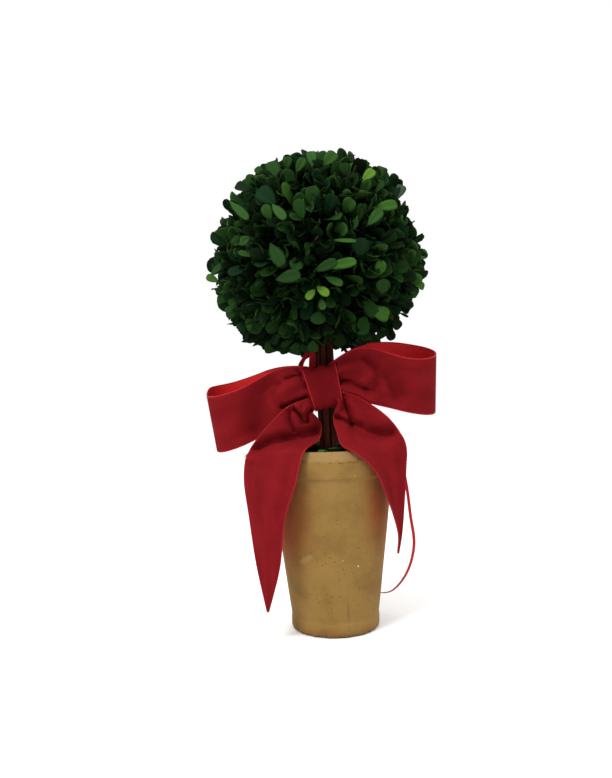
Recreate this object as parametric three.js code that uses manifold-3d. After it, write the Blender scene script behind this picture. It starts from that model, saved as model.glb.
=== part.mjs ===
// Box topiary ball on a bundle of sticks, in a clay pot, tied with a velvet ribbon bow.
// Millimetres, +Z up. The origin is the centre of the pot's flat underside, and the bow faces -Y.
import * as THREE from 'three';
import { mergeVertices } from 'three/addons/utils/BufferGeometryUtils.js';
import Module from 'manifold-3d';

const wasm = await Module();
wasm.setup();

// Driving dimensions

const CLEARANCE = 0.3; // gap that neighbouring pieces keep
const DEGREE = Math.PI / 180;

const pot = {
  height: 133,
  sides: 36,
  footRadius: 32.7,
  footRound: 2.6,
  footHeight: 7,
  waistRadius: 32.3,
  waistHeight: 10,
  shoulderRadius: 45.6,
  shoulderHeight: 113,
  collarRadius: 47,
  collarStep: 1.2, // the height over which the collar stands out from the wall
  lipRadius: 48.2,
  lipHeight: 126.3,
  rimRadius: 45.4,
  rimRound: 3,
  wall: 6.2,
  floor: 7,
  cornerRound: 4,
};

// The foam plug stops below the rim, and the greenery covers it.
const fill = { top: 122, sides: 24, gap: 0.7 };

const bundle = {
  foot: new THREE.Vector3(0.4, 0, 62),
  head: new THREE.Vector3(-3.4, 0, 252),
  ringOfSticks: 6,
  firstAngle: 20 * DEGREE,
  stickRadius: 2.35,
  headTaper: 0.9,
  ringRadius: 5.0,
  wander: 0.35, // how far a stick strays from a straight line
  keepOut: 5, // leaf tips stay this far from the bundle
  sides: 8,
  steps: 7,
};
const bundleRadius = bundle.ringRadius + bundle.stickRadius;

const ball = {
  centre: new THREE.Vector3(-6, 0, 276.8),
  reach: new THREE.Vector3(81.5, 81.5, 77), // half sizes of the clipped outline, at the leaf tips
  coreShare: 0.79, // the core's size as a share of the reach
  coreSides: 16,
  coreRings: 10,
  sprigs: 86,
  bareAngle: 12 * DEGREE, // no sprig grows this near to where the sticks go in
  jitter: 0.06,
  seed: 20,
};

// Shares are of the ball's reach, and a leaf's spread is the angle at the ball's centre off its twig.
const sprig = {
  twigRadius: 1.3,
  twigTaper: 0.6,
  rootShare: 0.7,
  tipShare: 0.84,
  lean: 0.1,
  pairs: [{ along: 0.2, spread: 10.5 * DEGREE }, { along: 0.62, spread: 6.5 * DEGREE }],
  spreadJitter: 2 * DEGREE,
};

const leaf = {
  tipShare: 0.985,
  tipJitter: 0.025,
  straggler: 1.035, // the share that one leaf in straggleEvery stands out to
  straggleEvery: 11,
  width: 17,
  widestAt: 0.66,
  thickestAt: 0.56,
  thickness: 1.4,
};

const greenery = {
  top: 131.5,
  edgeTop: 126,
  edgeGap: 0.9,
  domeShare: 0.6, // the share of its radius where the cushion rounds over
  sides: 20,
  leaves: 26,
  nearest: 11,
  furthest: 30,
  rootHeight: 127.4,
  tipLimit: 40.2, // no leaf reaches the pot's wall
  leafLength: 17,
  lengthJitter: 0.15,
  shortest: 6,
  leafWidth: 9.5,
  lowestClimb: 16 * DEGREE,
  climbRange: 22 * DEGREE,
  turnJitter: 0.9,
  roll: 0.5,
  seed: 7,
};

const ribbonThickness = 1.2;

const knot = {
  centre: new THREE.Vector3(-5.4, -17, 177.3),
  halfLength: 11.4, // along the bow
  halfHeight: 15.8,
  halfDepth: 7.4,
  rise: 9 * DEGREE, // the bow's own line climbs to the right
  lean: 12.5 * DEGREE, // the band's top leans to the left
  waist: 0.94,
  squareness: 0.8, // below 1 the oval's corners fill out
  steps: 6,
  sides: 20,
};

// A loop's reach and rise run from the knot's centre to its far end, its lean turns that end, and its
// tilt hangs the front band lower than the back one.
const rightLoop = {
  side: 1,
  reach: 82.6,
  rise: 1.4 * DEGREE,
  lean: 1 * DEGREE,
  tilt: 19 * DEGREE,
  arch: 9,
};
const leftLoop = {
  side: -1,
  reach: 83.3,
  rise: -14.5 * DEGREE,
  lean: 7 * DEGREE,
  tilt: 14 * DEGREE,
  arch: 4,
};
const loops = {
  back: 1.5, // the loops' middle lies this far behind the knot's
  bulge: 27, // sets how deep a loop is, front to back
  bulgePower: 0.8,
  archPower: 0.7, // below 1 a loop arches nearer to the knot
  tiltFrom: 0.1, // the shares of its reach between which a loop takes up its tilt
  tiltTo: 0.75,
  gatheredHalf: 9, // half of the ribbon's height at gatherFrom, and fully open at gatherTo
  openHalf: 22.3,
  gatherFrom: -0.15,
  gatherTo: 0.5,
  steps: 26,
  across: 3,
};

// Each tail hangs between two edges: [outer edge, inner edge] at stations from the knot to the tip.
const leftTail = [
  [[-12, -19.5, 171.5], [-9, -17, 163]],
  [[-19.5, -23.6, 169], [-12.4, -19.5, 159.6]],
  [[-26, -28.6, 167], [-9, -15.5, 155]],
  [[-34.2, -32.6, 162], [-6.6, -13.4, 150]],
  [[-43.9, -35, 153], [-6.6, -17, 144.6]],
  [[-52.4, -35.6, 143], [-9.6, -32, 139.6]],
  [[-60.3, -33.6, 130.5], [-19.5, -47, 133.6]],
  [[-62.7, -31, 113], [-26, -48.5, 112]],
  [[-60, -32, 89], [-34, -46, 88]],
  [[-55.6, -34, 55], [-40, -43.5, 54]],
  [[-48.8, -38, 22], [-47.4, -38.8, 22.4]],
];
const rightTail = [
  [[1, -19.5, 173], [-1, -17, 167]],
  [[8, -23, 174], [5.6, -22, 168]],
  [[14.8, -26.6, 172.4], [2.6, -20, 158.5]],
  [[22.6, -29.6, 168.6], [2.4, -18.6, 151.5]],
  [[37, -32, 158.4], [4, -28, 145]],
  [[46.6, -31, 147.6], [6.4, -42, 137.2]],
  [[53, -27, 134.6], [17, -49.6, 131]],
  [[52.8, -25.6, 117], [29.4, -45.6, 118]],
  [[51, -25.6, 95], [38.5, -38.5, 96]],
  [[48.5, -27, 73], [44.8, -32.5, 73.5]],
  [[45.4, -28.4, 58], [44.4, -29.2, 58.3]],
];

const tailCrown = 3; // how far the middle of a tail stands off the line between its edges

const tie = { bottom: 171, top: 183, thickness: 1, slack: 0.45, sides: 20 };

// The small loop of narrow ribbon that stands up behind the knot: [one edge, other edge].
const tieLoopRibbon = { thickness: 0.9, steps: 20, across: 1 };
const tieLoop = [
  [[-11.6, -8.2, 184.5], [-11.6, -2.2, 184.5]],
  [[-18, -9.6, 189.5], [-17, -3.6, 190.5]],
  [[-23.2, -9.4, 195.2], [-20.2, -4.6, 195.8]],
  [[-20.6, -8.2, 199.6], [-17.8, -4, 199]],
  [[-16.2, -6, 200.2], [-12.6, -2.4, 199.6]],
  [[-15.4, -4.4, 194.5], [-9.9, -1.6, 194.5]],
  [[-14.8, -3.8, 187], [-9.8, -1, 187]],
];
const tieLoopKeepOut = { centre: new THREE.Vector3(-17, -6, 199), radius: 8 };

const strand = {
  width: 3,
  thickness: 0.8,
  steps: 24,
  path: [
    [9.8, 3.5, 173],
    [23, 1, 158],
    [39, -6, 146],
    [49.6, -12, 128],
    [54, -14, 106],
    [57, -10, 82],
    [59.6, -6, 59],
    [57.2, 2, 35],
    [47, 14, 18.4],
    [34, 26, 14.5],
    [22, 34, 17],
  ],
  firstTurn: 85 * DEGREE,
  lastTurn: -80 * DEGREE,
  tipFrom: 0.94, // the share of its length from which the strand narrows
  tipShare: 0.25,
};

const GOLDEN_ANGLE = Math.PI * (3 - Math.sqrt(5));

// Seeded numbers

function seeded(seed) {
  let state = seed >>> 0;
  return () => {
    state = (state + 0x6d2b79f5) >>> 0;
    let mixed = Math.imul(state ^ (state >>> 15), 1 | state);
    mixed = (mixed + Math.imul(mixed ^ (mixed >>> 7), 61 | mixed)) ^ mixed;
    return ((mixed ^ (mixed >>> 14)) >>> 0) / 4294967296;
  };
}

const around = (random) => 2 * random() - 1;

// From meshes to solids and back

function facesGeometry(points, triangles) {
  const geometry = new THREE.BufferGeometry().setFromPoints(points);
  geometry.setIndex(triangles.flat());
  return geometry;
}

function toSolid(geometry) {
  const bare = geometry.clone();
  bare.deleteAttribute('normal');
  bare.deleteAttribute('uv');
  const merged = mergeVertices(bare, 1e-4);
  const corners = merged.index.array;
  const kept = [];
  for (let i = 0; i < corners.length; i += 3) {
    const [a, b, c] = corners.slice(i, i + 3);
    if (a !== b && b !== c && c !== a) kept.push(a, b, c);
  }
  return new wasm.Manifold(new wasm.Mesh({
    numProp: 3,
    vertProperties: new Float32Array(merged.attributes.position.array),
    triVerts: new Uint32Array(kept),
  }));
}

function toGeometry(solid) {
  const mesh = solid.getMesh();
  const geometry = new THREE.BufferGeometry();
  geometry.setAttribute('position', new THREE.BufferAttribute(mesh.vertProperties, 3));
  geometry.setIndex(new THREE.BufferAttribute(mesh.triVerts, 1));
  return geometry;
}

// The largest connected body once points that meet are merged, so loose scraps and sealed hollows go.
function mainBody(solid) {
  const bodies = toSolid(toGeometry(solid)).decompose();
  return bodies.reduce((best, body) => (body.volume() > best.volume() ? body : best));
}

// Shapes that several pieces share

function turned(profile, sides) {
  return new THREE.LatheGeometry(profile, sides).rotateX(Math.PI / 2);
}

// Rings of equal count, joined in order and closed at both ends.
function loft(rings) {
  const count = rings[0].length;
  const points = rings.flat();
  const triangles = [];
  for (let i = 0; i + 1 < rings.length; i += 1) {
    for (let j = 0; j < count; j += 1) {
      const next = (j + 1) % count;
      const [a, b] = [i * count + j, i * count + next];
      const [c, d] = [a + count, b + count];
      triangles.push([a, b, d], [a, d, c]);
    }
  }
  const last = (rings.length - 1) * count;
  for (let j = 1; j + 1 < count; j += 1) {
    triangles.push([0, j + 1, j], [last, last + j, last + j + 1]);
  }
  return facesGeometry(points, triangles);
}

// A sheet of even thickness about a grid of points, grid[along][across].
function sheet(grid, thickness) {
  const rows = grid.length;
  const columns = grid[0].length;
  const normalAt = (i, j) => {
    const along = grid[Math.min(i + 1, rows - 1)][j].clone().sub(grid[Math.max(i - 1, 0)][j]);
    const across = grid[i][Math.min(j + 1, columns - 1)].clone().sub(grid[i][Math.max(j - 1, 0)]);
    return along.cross(across).normalize();
  };
  const points = [1, -1].flatMap((side) => grid.flatMap((row, i) => row.map(
    (point, j) => point.clone().addScaledVector(normalAt(i, j), side * thickness / 2),
  )));
  const top = (i, j) => i * columns + j;
  const under = (i, j) => rows * columns + top(i, j);
  const triangles = [];
  for (let i = 0; i + 1 < rows; i += 1) {
    for (let j = 0; j + 1 < columns; j += 1) {
      triangles.push([top(i, j), top(i + 1, j), top(i + 1, j + 1)]);
      triangles.push([top(i, j), top(i + 1, j + 1), top(i, j + 1)]);
      triangles.push([under(i, j), under(i + 1, j + 1), under(i + 1, j)]);
      triangles.push([under(i, j), under(i, j + 1), under(i + 1, j + 1)]);
    }
  }
  const rim = [];
  for (let i = 0; i < rows; i += 1) rim.push([i, 0]);
  for (let j = 1; j < columns; j += 1) rim.push([rows - 1, j]);
  for (let i = rows - 2; i >= 0; i -= 1) rim.push([i, columns - 1]);
  for (let j = columns - 2; j > 0; j -= 1) rim.push([0, j]);
  rim.forEach((corner, k) => {
    const next = rim[(k + 1) % rim.length];
    triangles.push([top(...corner), under(...corner), under(...next)]);
    triangles.push([top(...corner), under(...next), top(...next)]);
  });
  return facesGeometry(points, triangles);
}

function smoothLine(points) {
  const vectors = points.map((point) => new THREE.Vector3(...point));
  return new THREE.CatmullRomCurve3(vectors, false, 'catmullrom', 0.5);
}

// A ribbon between two edges, its middle raised by the crown.
function ribbonBetween(stations, { thickness = ribbonThickness, steps = 20, across = 3, crown = 0 } = {}) {
  const first = smoothLine(stations.map((station) => station[0]));
  const second = smoothLine(stations.map((station) => station[1]));
  const grid = [];
  for (let i = 0; i <= steps; i += 1) {
    const [a, b] = [first.getPoint(i / steps), second.getPoint(i / steps)];
    const along = first.getTangent(i / steps).add(second.getTangent(i / steps));
    const raised = along.cross(b.clone().sub(a)).normalize();
    const row = [];
    for (let j = 0; j <= across; j += 1) {
      const share = j / across;
      const height = crown * Math.sin(Math.PI * share) * Math.sin(Math.PI * i / steps);
      row.push(a.clone().lerp(b, share).addScaledVector(raised, height));
    }
    grid.push(row);
  }
  return sheet(grid, thickness);
}

// The pot and what fills it

const wallSlope = (pot.shoulderRadius - pot.waistRadius) / (pot.shoulderHeight - pot.waistHeight);
const innerRadiusAt = (height) => pot.waistRadius - pot.wall + wallSlope * (height - pot.waistHeight);

function potSolid() {
  const innerRim = innerRadiusAt(pot.height);
  const innerFoot = innerRadiusAt(pot.floor);
  const profile = new THREE.Path();
  profile.moveTo(0, 0);
  profile.lineTo(pot.footRadius - pot.footRound, 0);
  profile.quadraticCurveTo(pot.footRadius, 0, pot.footRadius, pot.footRound);
  profile.lineTo(pot.footRadius, pot.footHeight);
  profile.lineTo(pot.waistRadius, pot.waistHeight);
  profile.lineTo(pot.shoulderRadius, pot.shoulderHeight);
  profile.lineTo(pot.collarRadius, pot.shoulderHeight + pot.collarStep);
  profile.lineTo(pot.lipRadius, pot.lipHeight);
  profile.quadraticCurveTo(pot.lipRadius, pot.height, pot.rimRadius, pot.height);
  profile.quadraticCurveTo(innerRim, pot.height, innerRim, pot.height - pot.rimRound);
  profile.lineTo(innerRadiusAt(pot.floor + pot.cornerRound), pot.floor + pot.cornerRound);
  profile.quadraticCurveTo(innerFoot, pot.floor, innerFoot - pot.cornerRound, pot.floor);
  profile.lineTo(0, pot.floor);
  return toSolid(turned(profile.getPoints(2), pot.sides));
}

function fillSolid() {
  const foot = pot.floor + pot.cornerRound;
  const profile = new THREE.Path();
  profile.moveTo(0, pot.floor + CLEARANCE);
  profile.lineTo(innerRadiusAt(pot.floor) - pot.cornerRound - fill.gap, pot.floor + CLEARANCE);
  profile.lineTo(innerRadiusAt(foot) - fill.gap, foot + CLEARANCE);
  profile.lineTo(innerRadiusAt(fill.top) - fill.gap, fill.top);
  profile.lineTo(0, fill.top);
  return toSolid(turned(profile.getPoints(), fill.sides)).subtract(stickSockets());
}

// The sticks

const stickHomes = [
  { angle: 0, radius: 0 },
  ...Array.from({ length: bundle.ringOfSticks }, (_, i) => ({
    angle: 2 * Math.PI * i / bundle.ringOfSticks + bundle.firstAngle,
    radius: bundle.ringRadius,
  })),
];

const bundleCentreAt = (height) => bundle.foot.clone().lerp(
  bundle.head,
  (height - bundle.foot.z) / (bundle.head.z - bundle.foot.z),
);

// One stick, thicker by grow all over when it cuts a socket.
function stickGeometry(home, number, grow = 0) {
  const rings = [];
  for (let i = 0; i <= bundle.steps; i += 1) {
    const share = i / bundle.steps;
    const end = (i === bundle.steps ? grow : 0) - (i === 0 ? grow : 0);
    const centre = bundle.foot.clone().lerp(bundle.head, share);
    centre.x += home.radius * Math.cos(home.angle);
    centre.y += home.radius * Math.sin(home.angle);
    if (home.radius > 0) {
      const swing = Math.abs(Math.sin(2 * Math.PI * share + number));
      const wander = bundle.wander * swing * Math.sin(Math.PI * share);
      centre.x += wander * Math.cos(home.angle);
      centre.y += wander * Math.sin(home.angle);
    }
    const radius = grow + bundle.stickRadius * THREE.MathUtils.lerp(1, bundle.headTaper, share);
    rings.push(Array.from({ length: bundle.sides }, (_, j) => {
      const turn = 2 * Math.PI * j / bundle.sides;
      return new THREE.Vector3(
        centre.x + radius * Math.cos(turn),
        centre.y + radius * Math.sin(turn),
        centre.z + end,
      );
    }));
  }
  return loft(rings);
}

function stickSockets() {
  return wasm.Manifold.union(stickHomes.map((home, i) => toSolid(stickGeometry(home, i, CLEARANCE))));
}

// Leaves and twigs

// A closed blade of eight faces, widest past its middle.
function leafSolid(root, direction, side, length, width) {
  const face = direction.clone().cross(side).normalize();
  const across = face.clone().cross(direction).normalize();
  const at = (along, out, up) => root.clone()
    .addScaledVector(direction, along * length)
    .addScaledVector(across, out * width / 2)
    .addScaledVector(face, up * leaf.thickness / 2);
  const points = [
    at(0, 0, 0), at(leaf.widestAt, 1, 0), at(1, 0, 0), at(leaf.widestAt, -1, 0),
    at(leaf.thickestAt, 0, 1), at(leaf.thickestAt, 0, -1),
  ];
  return toSolid(facesGeometry(points, [
    [4, 2, 1], [4, 3, 2], [4, 0, 3], [4, 1, 0], [5, 1, 2], [5, 2, 3], [5, 3, 0], [5, 0, 1],
  ]));
}

function twigSolid(root, tip, radius) {
  const direction = tip.clone().sub(root).normalize();
  const side = new THREE.Vector3(0.3, 0.5, 0.8).cross(direction).normalize();
  const other = direction.clone().cross(side);
  const ring = (centre, size) => [0, 1, 2].map((corner) => {
    const turn = 2 * Math.PI * corner / 3;
    return centre.clone()
      .addScaledVector(side, size * Math.cos(turn))
      .addScaledVector(other, size * Math.sin(turn));
  });
  return toSolid(loft([ring(root, radius), ring(tip, radius * sprig.twigTaper)]));
}

// Even directions over the ball, from a golden spiral with a little jitter.
function sprigDirection(number, count, random) {
  const height = 1 - 2 * (number + 0.5) / count;
  const flat = Math.sqrt(1 - height * height);
  const turn = GOLDEN_ANGLE * number;
  const direction = new THREE.Vector3(flat * Math.cos(turn), flat * Math.sin(turn), height);
  direction.x += ball.jitter * around(random);
  direction.y += ball.jitter * around(random);
  direction.z += ball.jitter * around(random);
  return direction.normalize();
}

function touchesTie(point) {
  return point.distanceTo(tieLoopKeepOut.centre) < tieLoopKeepOut.radius;
}

function nearSticks(point) {
  const centre = bundleCentreAt(point.z);
  return Math.hypot(point.x - centre.x, point.y - centre.y) < bundleRadius + bundle.keepOut;
}

function ballSolid() {
  const random = seeded(ball.seed);
  const core = toSolid(new THREE.SphereGeometry(1, ball.coreSides, ball.coreRings).rotateX(Math.PI / 2)
    .scale(...ball.reach.clone().multiplyScalar(ball.coreShare).toArray())
    .translate(...ball.centre.toArray()));
  const pieces = [core];
  const onReach = (direction, share) => ball.centre.clone()
    .add(direction.clone().normalize().multiply(ball.reach).multiplyScalar(share));
  for (let i = 0; i < ball.sprigs; i += 1) {
    const out = sprigDirection(i, ball.sprigs, random);
    const lean = new THREE.Vector3(around(random), around(random), around(random));
    const spin = Math.PI * random();
    const draws = sprig.pairs.map(() => [[around(random), around(random)], [around(random), around(random)]]);
    if (out.z < -Math.cos(ball.bareAngle)) continue;
    const root = onReach(out, sprig.rootShare);
    const tip = onReach(out.clone().addScaledVector(lean, sprig.lean), sprig.tipShare);
    pieces.push(twigSolid(root, tip, sprig.twigRadius));
    const side = new THREE.Vector3(0, 0, 1).cross(out).normalize();
    const other = out.clone().cross(side);
    sprig.pairs.forEach((pair, p) => draws[p].forEach(([spreadDraw, shareDraw], q) => {
      const turn = spin + p * Math.PI / 2 + q * Math.PI;
      const outward = side.clone().multiplyScalar(Math.cos(turn)).addScaledVector(other, Math.sin(turn));
      const spread = pair.spread + sprig.spreadJitter * spreadDraw;
      const straggles = (4 * i + 2 * p + q) % leaf.straggleEvery === 0;
      const share = straggles ? leaf.straggler : leaf.tipShare + leaf.tipJitter * shareDraw;
      const start = root.clone().lerp(tip, pair.along);
      const end = onReach(out.clone().addScaledVector(outward, Math.tan(spread)), share);
      if (nearSticks(end) || touchesTie(end)) return;
      const along = end.clone().sub(start);
      const length = along.length();
      pieces.push(leafSolid(start, along.normalize(), outward.clone().cross(along), length, leaf.width));
    }));
  }
  return mainBody(wasm.Manifold.union(pieces).subtract(stickSockets()));
}

// A low cushion of leaves round the foot of the sticks.
function greenerySolid() {
  const random = seeded(greenery.seed);
  const edge = innerRadiusAt(fill.top) - greenery.edgeGap;
  const profile = new THREE.Path();
  profile.moveTo(0, fill.top + CLEARANCE);
  profile.lineTo(edge, fill.top + CLEARANCE);
  profile.lineTo(edge, greenery.edgeTop);
  profile.quadraticCurveTo(edge * greenery.domeShare, greenery.top, 0, greenery.top);
  const pieces = [toSolid(turned(profile.getPoints(2), greenery.sides))];
  for (let i = 0; i < greenery.leaves; i += 1) {
    const turn = GOLDEN_ANGLE * i;
    const from = THREE.MathUtils.lerp(greenery.nearest, greenery.furthest, (i + 0.5) / greenery.leaves);
    const heading = turn + greenery.turnJitter * around(random);
    const climb = greenery.lowestClimb + greenery.climbRange * random();
    const roll = greenery.roll * around(random);
    const root = new THREE.Vector3(from * Math.cos(turn), from * Math.sin(turn), greenery.rootHeight);
    const along = new THREE.Vector3(
      Math.cos(heading) * Math.cos(climb),
      Math.sin(heading) * Math.cos(climb),
      Math.sin(climb),
    );
    const side = new THREE.Vector3(-Math.sin(heading), Math.cos(heading), roll).normalize();
    const radiusAt = (length) => Math.hypot(root.x + along.x * length, root.y + along.y * length);
    let length = greenery.leafLength * (1 + greenery.lengthJitter * around(random));
    while (length > greenery.shortest && radiusAt(length) > greenery.tipLimit) {
      length -= CLEARANCE;
    }
    const width = greenery.leafWidth * Math.sqrt(length / greenery.leafLength);
    pieces.push(leafSolid(root, along, side, length, width));
  }
  return mainBody(wasm.Manifold.union(pieces).subtract(stickSockets()));
}

// The bow

// The band that wraps the bow's middle, as a plump closed form.
function knotGeometry(grow = 0) {
  const along = new THREE.Vector3(Math.cos(knot.rise), 0, Math.sin(knot.rise));
  const up = new THREE.Vector3(-Math.sin(knot.lean), 0, Math.cos(knot.lean));
  const back = new THREE.Vector3(0, 1, 0);
  const rings = [];
  for (let i = 0; i <= knot.steps; i += 1) {
    const share = 2 * i / knot.steps - 1;
    const size = THREE.MathUtils.lerp(knot.waist, 1, share * share);
    const centre = knot.centre.clone().addScaledVector(along, share * (knot.halfLength + grow));
    rings.push(Array.from({ length: knot.sides }, (_, j) => {
      const turn = 2 * Math.PI * j / knot.sides;
      const bent = (value) => Math.sign(value) * Math.abs(value) ** knot.squareness;
      return centre.clone()
        .addScaledVector(back, (knot.halfDepth * size + grow) * bent(Math.cos(turn)))
        .addScaledVector(up, (knot.halfHeight * size + grow) * bent(Math.sin(turn)));
    }));
  }
  return loft(rings);
}

// A loop of ribbon that leaves the knot, swings out and comes back: a teardrop seen from above.
function loopGrid(loop) {
  const { smoothstep, lerp } = THREE.MathUtils;
  const out = new THREE.Vector3(loop.side * Math.cos(loop.rise), 0, Math.sin(loop.rise));
  const up = new THREE.Vector3(-Math.sin(loop.lean), 0, Math.cos(loop.lean));
  const start = knot.centre.clone().add(new THREE.Vector3(0, loops.back, 0));
  const grid = [];
  for (let i = 0; i <= loops.steps; i += 1) {
    const round = 2 * Math.PI * i / loops.steps;
    const share = (1 - Math.cos(round)) / 2;
    const depth = -loops.bulge * Math.sin(round) * share ** loops.bulgePower;
    const tilt = loop.tilt * smoothstep(share, loops.tiltFrom, loops.tiltTo);
    const opened = smoothstep(share, loops.gatherFrom, loops.gatherTo);
    const half = lerp(loops.gatheredHalf, loops.openHalf, opened);
    const lift = loop.arch * Math.sin(Math.PI * share ** loops.archPower);
    const row = [];
    for (let j = 0; j <= loops.across; j += 1) {
      const height = half * (2 * j / loops.across - 1);
      row.push(start.clone()
        .addScaledVector(out, loop.reach * share)
        .addScaledVector(up, lift + depth * Math.sin(tilt) + height * Math.cos(tilt))
        .add(new THREE.Vector3(0, depth * Math.cos(tilt) - height * Math.sin(tilt), 0)));
    }
    grid.push(row);
  }
  return grid;
}

function clearOfKnot(geometry) {
  return mainBody(toSolid(geometry).subtract(toSolid(knotGeometry(CLEARANCE))));
}

function loopSolid(loop) {
  return clearOfKnot(sheet(loopGrid(loop), ribbonThickness));
}

// A ring of ribbon round the sticks, which holds the bow against them.
function tieSolid() {
  const middle = bundleCentreAt((tie.bottom + tie.top) / 2);
  const inner = bundleRadius + bundle.wander + tie.slack;
  const outer = inner + tie.thickness;
  const corners = [[inner, tie.bottom], [outer, tie.bottom], [outer, tie.top], [inner, tie.top]];
  const profile = [...corners, corners[0]].map(([radius, height]) => new THREE.Vector2(radius, height));
  return toSolid(turned(profile, tie.sides).translate(middle.x, middle.y, 0))
    .subtract(toSolid(knotGeometry(CLEARANCE)));
}

function strandGeometry() {
  const line = smoothLine(strand.path);
  const grid = [];
  for (let i = 0; i <= strand.steps; i += 1) {
    const share = i / strand.steps;
    const point = line.getPoint(share);
    const along = line.getTangent(share);
    const side = new THREE.Vector3(0, -1, 0).cross(along).normalize();
    const deep = along.clone().cross(side).normalize();
    const turn = THREE.MathUtils.lerp(strand.firstTurn, strand.lastTurn, share);
    const across = side.multiplyScalar(Math.cos(turn)).addScaledVector(deep, Math.sin(turn));
    const atTip = Math.max(0, (share - strand.tipFrom) / (1 - strand.tipFrom));
    const half = strand.width / 2 * THREE.MathUtils.lerp(1, strand.tipShare, atTip);
    grid.push([-half, half].map((offset) => point.clone().addScaledVector(across, offset)));
  }
  return sheet(grid, strand.thickness);
}

// The assembly

const clay = new THREE.MeshStandardMaterial({ color: 0xb08a55, roughness: 0.85, metalness: 0 });
const foam = new THREE.MeshStandardMaterial({ color: 0x4a5a35, roughness: 1, metalness: 0 });
const bark = new THREE.MeshStandardMaterial({ color: 0x4a2a1c, roughness: 0.8, metalness: 0 });
const boxLeaf = new THREE.MeshStandardMaterial({ color: 0x1f4a22, roughness: 0.5, metalness: 0 });
const velvet = new THREE.MeshStandardMaterial({ color: 0x8c1a20, roughness: 0.9, metalness: 0 });

const topiary = new THREE.Group();
topiary.name = 'box_topiary_ball';

function add(name, solid, material) {
  const mesh = new THREE.Mesh(toGeometry(solid), material);
  mesh.name = name;
  topiary.add(mesh);
}

add('pot', potSolid(), clay);
add('pot_fill', fillSolid(), foam);
add('pot_greenery', greenerySolid(), boxLeaf);
stickHomes.forEach((home, i) => add(`stem_stick_${i + 1}`, toSolid(stickGeometry(home, i)), bark));
add('foliage_ball', ballSolid(), boxLeaf);
add('bow_knot', toSolid(knotGeometry()), velvet);
add('bow_loop_left', loopSolid(leftLoop), velvet);
add('bow_loop_right', loopSolid(rightLoop), velvet);
add('bow_tail_left', clearOfKnot(ribbonBetween(leftTail, { crown: tailCrown })), velvet);
add('bow_tail_right', clearOfKnot(ribbonBetween(rightTail, { crown: tailCrown })), velvet);
add('bow_tie', tieSolid(), velvet);
add('bow_tie_loop', toSolid(ribbonBetween(tieLoop, tieLoopRibbon)), velvet);
add('bow_strand', toSolid(strandGeometry()), velvet);

export default topiary;
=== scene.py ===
"""Looks of a tabletop box topiary: a clipped ball of preserved box sprigs on a bundle of sticks.

It stands in an unglazed clay pot and wears a wide velvet ribbon bow. Lengths in the classes are
millimetres, as in the part's source, and become metres when a mesh is made.
"""

import logging
import math
from dataclasses import dataclass, field
from enum import Enum

import bpy
import numpy as np
from mathutils import Matrix


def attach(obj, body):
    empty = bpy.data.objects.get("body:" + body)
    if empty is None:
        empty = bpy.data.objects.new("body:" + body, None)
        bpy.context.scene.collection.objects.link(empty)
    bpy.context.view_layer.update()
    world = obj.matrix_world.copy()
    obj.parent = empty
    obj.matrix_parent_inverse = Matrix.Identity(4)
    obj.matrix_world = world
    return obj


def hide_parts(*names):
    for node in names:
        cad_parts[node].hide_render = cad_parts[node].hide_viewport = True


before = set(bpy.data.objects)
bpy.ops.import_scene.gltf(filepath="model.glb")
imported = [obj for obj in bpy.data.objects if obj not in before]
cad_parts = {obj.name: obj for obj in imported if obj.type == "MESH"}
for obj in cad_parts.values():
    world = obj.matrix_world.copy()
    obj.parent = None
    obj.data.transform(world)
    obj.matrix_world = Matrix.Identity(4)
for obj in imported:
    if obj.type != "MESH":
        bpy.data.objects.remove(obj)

log = logging.getLogger("topiary")

MM = 0.001
DEGREE = math.pi / 180
GOLDEN_ANGLE = math.pi * (3 - math.sqrt(5))
WORD = 0xFFFFFFFF
UP = np.array([0.0, 0.0, 1.0])
BACK = np.array([0.0, 1.0, 0.0])
Piece = bpy.types.Object
Material = bpy.types.Material
Tree = bpy.types.NodeTree
Node = bpy.types.Node
Socket = bpy.types.NodeSocket
ROOT = "root"
RIBBON_WIDTH = 45.0


# Small helpers


def linear(hex_colour: str) -> tuple[float, float, float, float]:
    """Turn an sRGB hex colour into the linear RGBA that shaders take.

    Args:
        hex_colour: Six hex digits, such as "8C1A20".

    Returns:
        Linear red, green, blue and an alpha of one.
    """
    parts = [int(hex_colour[i:i + 2], 16) / 255 for i in (0, 2, 4)]
    red, green, blue = (c / 12.92 if c <= 0.04045 else ((c + 0.055) / 1.055) ** 2.4 for c in parts)
    return red, green, blue, 1.0


def add_node(tree: Tree, kind: str, inputs: dict | None = None, **settings) -> Node:
    """Add one node with its settings, its constants and its links.

    Args:
        tree: The node tree that takes the node.
        kind: The node's type name.
        inputs: For each input socket's name or number, a constant or the output socket that feeds it.
        **settings: The node's own properties.

    Returns:
        The new node.
    """
    node = tree.nodes.new(kind)
    for key, value in settings.items():
        setattr(node, key, value)
    for socket, value in (inputs or {}).items():
        if isinstance(value, Socket):
            tree.links.new(value, node.inputs[socket])
        else:
            node.inputs[socket].default_value = value
    return node


def new_material(name: str, constants: dict | None = None) -> tuple[Material, Tree, Node]:
    """Start a node material.

    Args:
        name: The material's name.
        constants: For each of the shader's own inputs that is the same all over, its value.

    Returns:
        The material, its tree and its Principled shader.
    """
    material = bpy.data.materials.new(name)
    material.use_nodes = True
    tree = material.node_tree
    shader = tree.nodes["Principled BSDF"]
    for socket, value in (constants or {}).items():
        shader.inputs[socket].default_value = value
    return material, tree, shader


def set_ramp(node: Node, stops: list[tuple[float, tuple]]) -> None:
    """Give a colour ramp its stops.

    Args:
        node: The ramp node, new and with its two first stops.
        stops: Each stop's place from 0 to 1 and its colour.
    """
    ramp = node.color_ramp
    while len(ramp.elements) < len(stops):
        ramp.elements.new(1.0)
    for element, (place, colour) in zip(ramp.elements, stops):
        element.position = place
        element.color = colour


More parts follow.
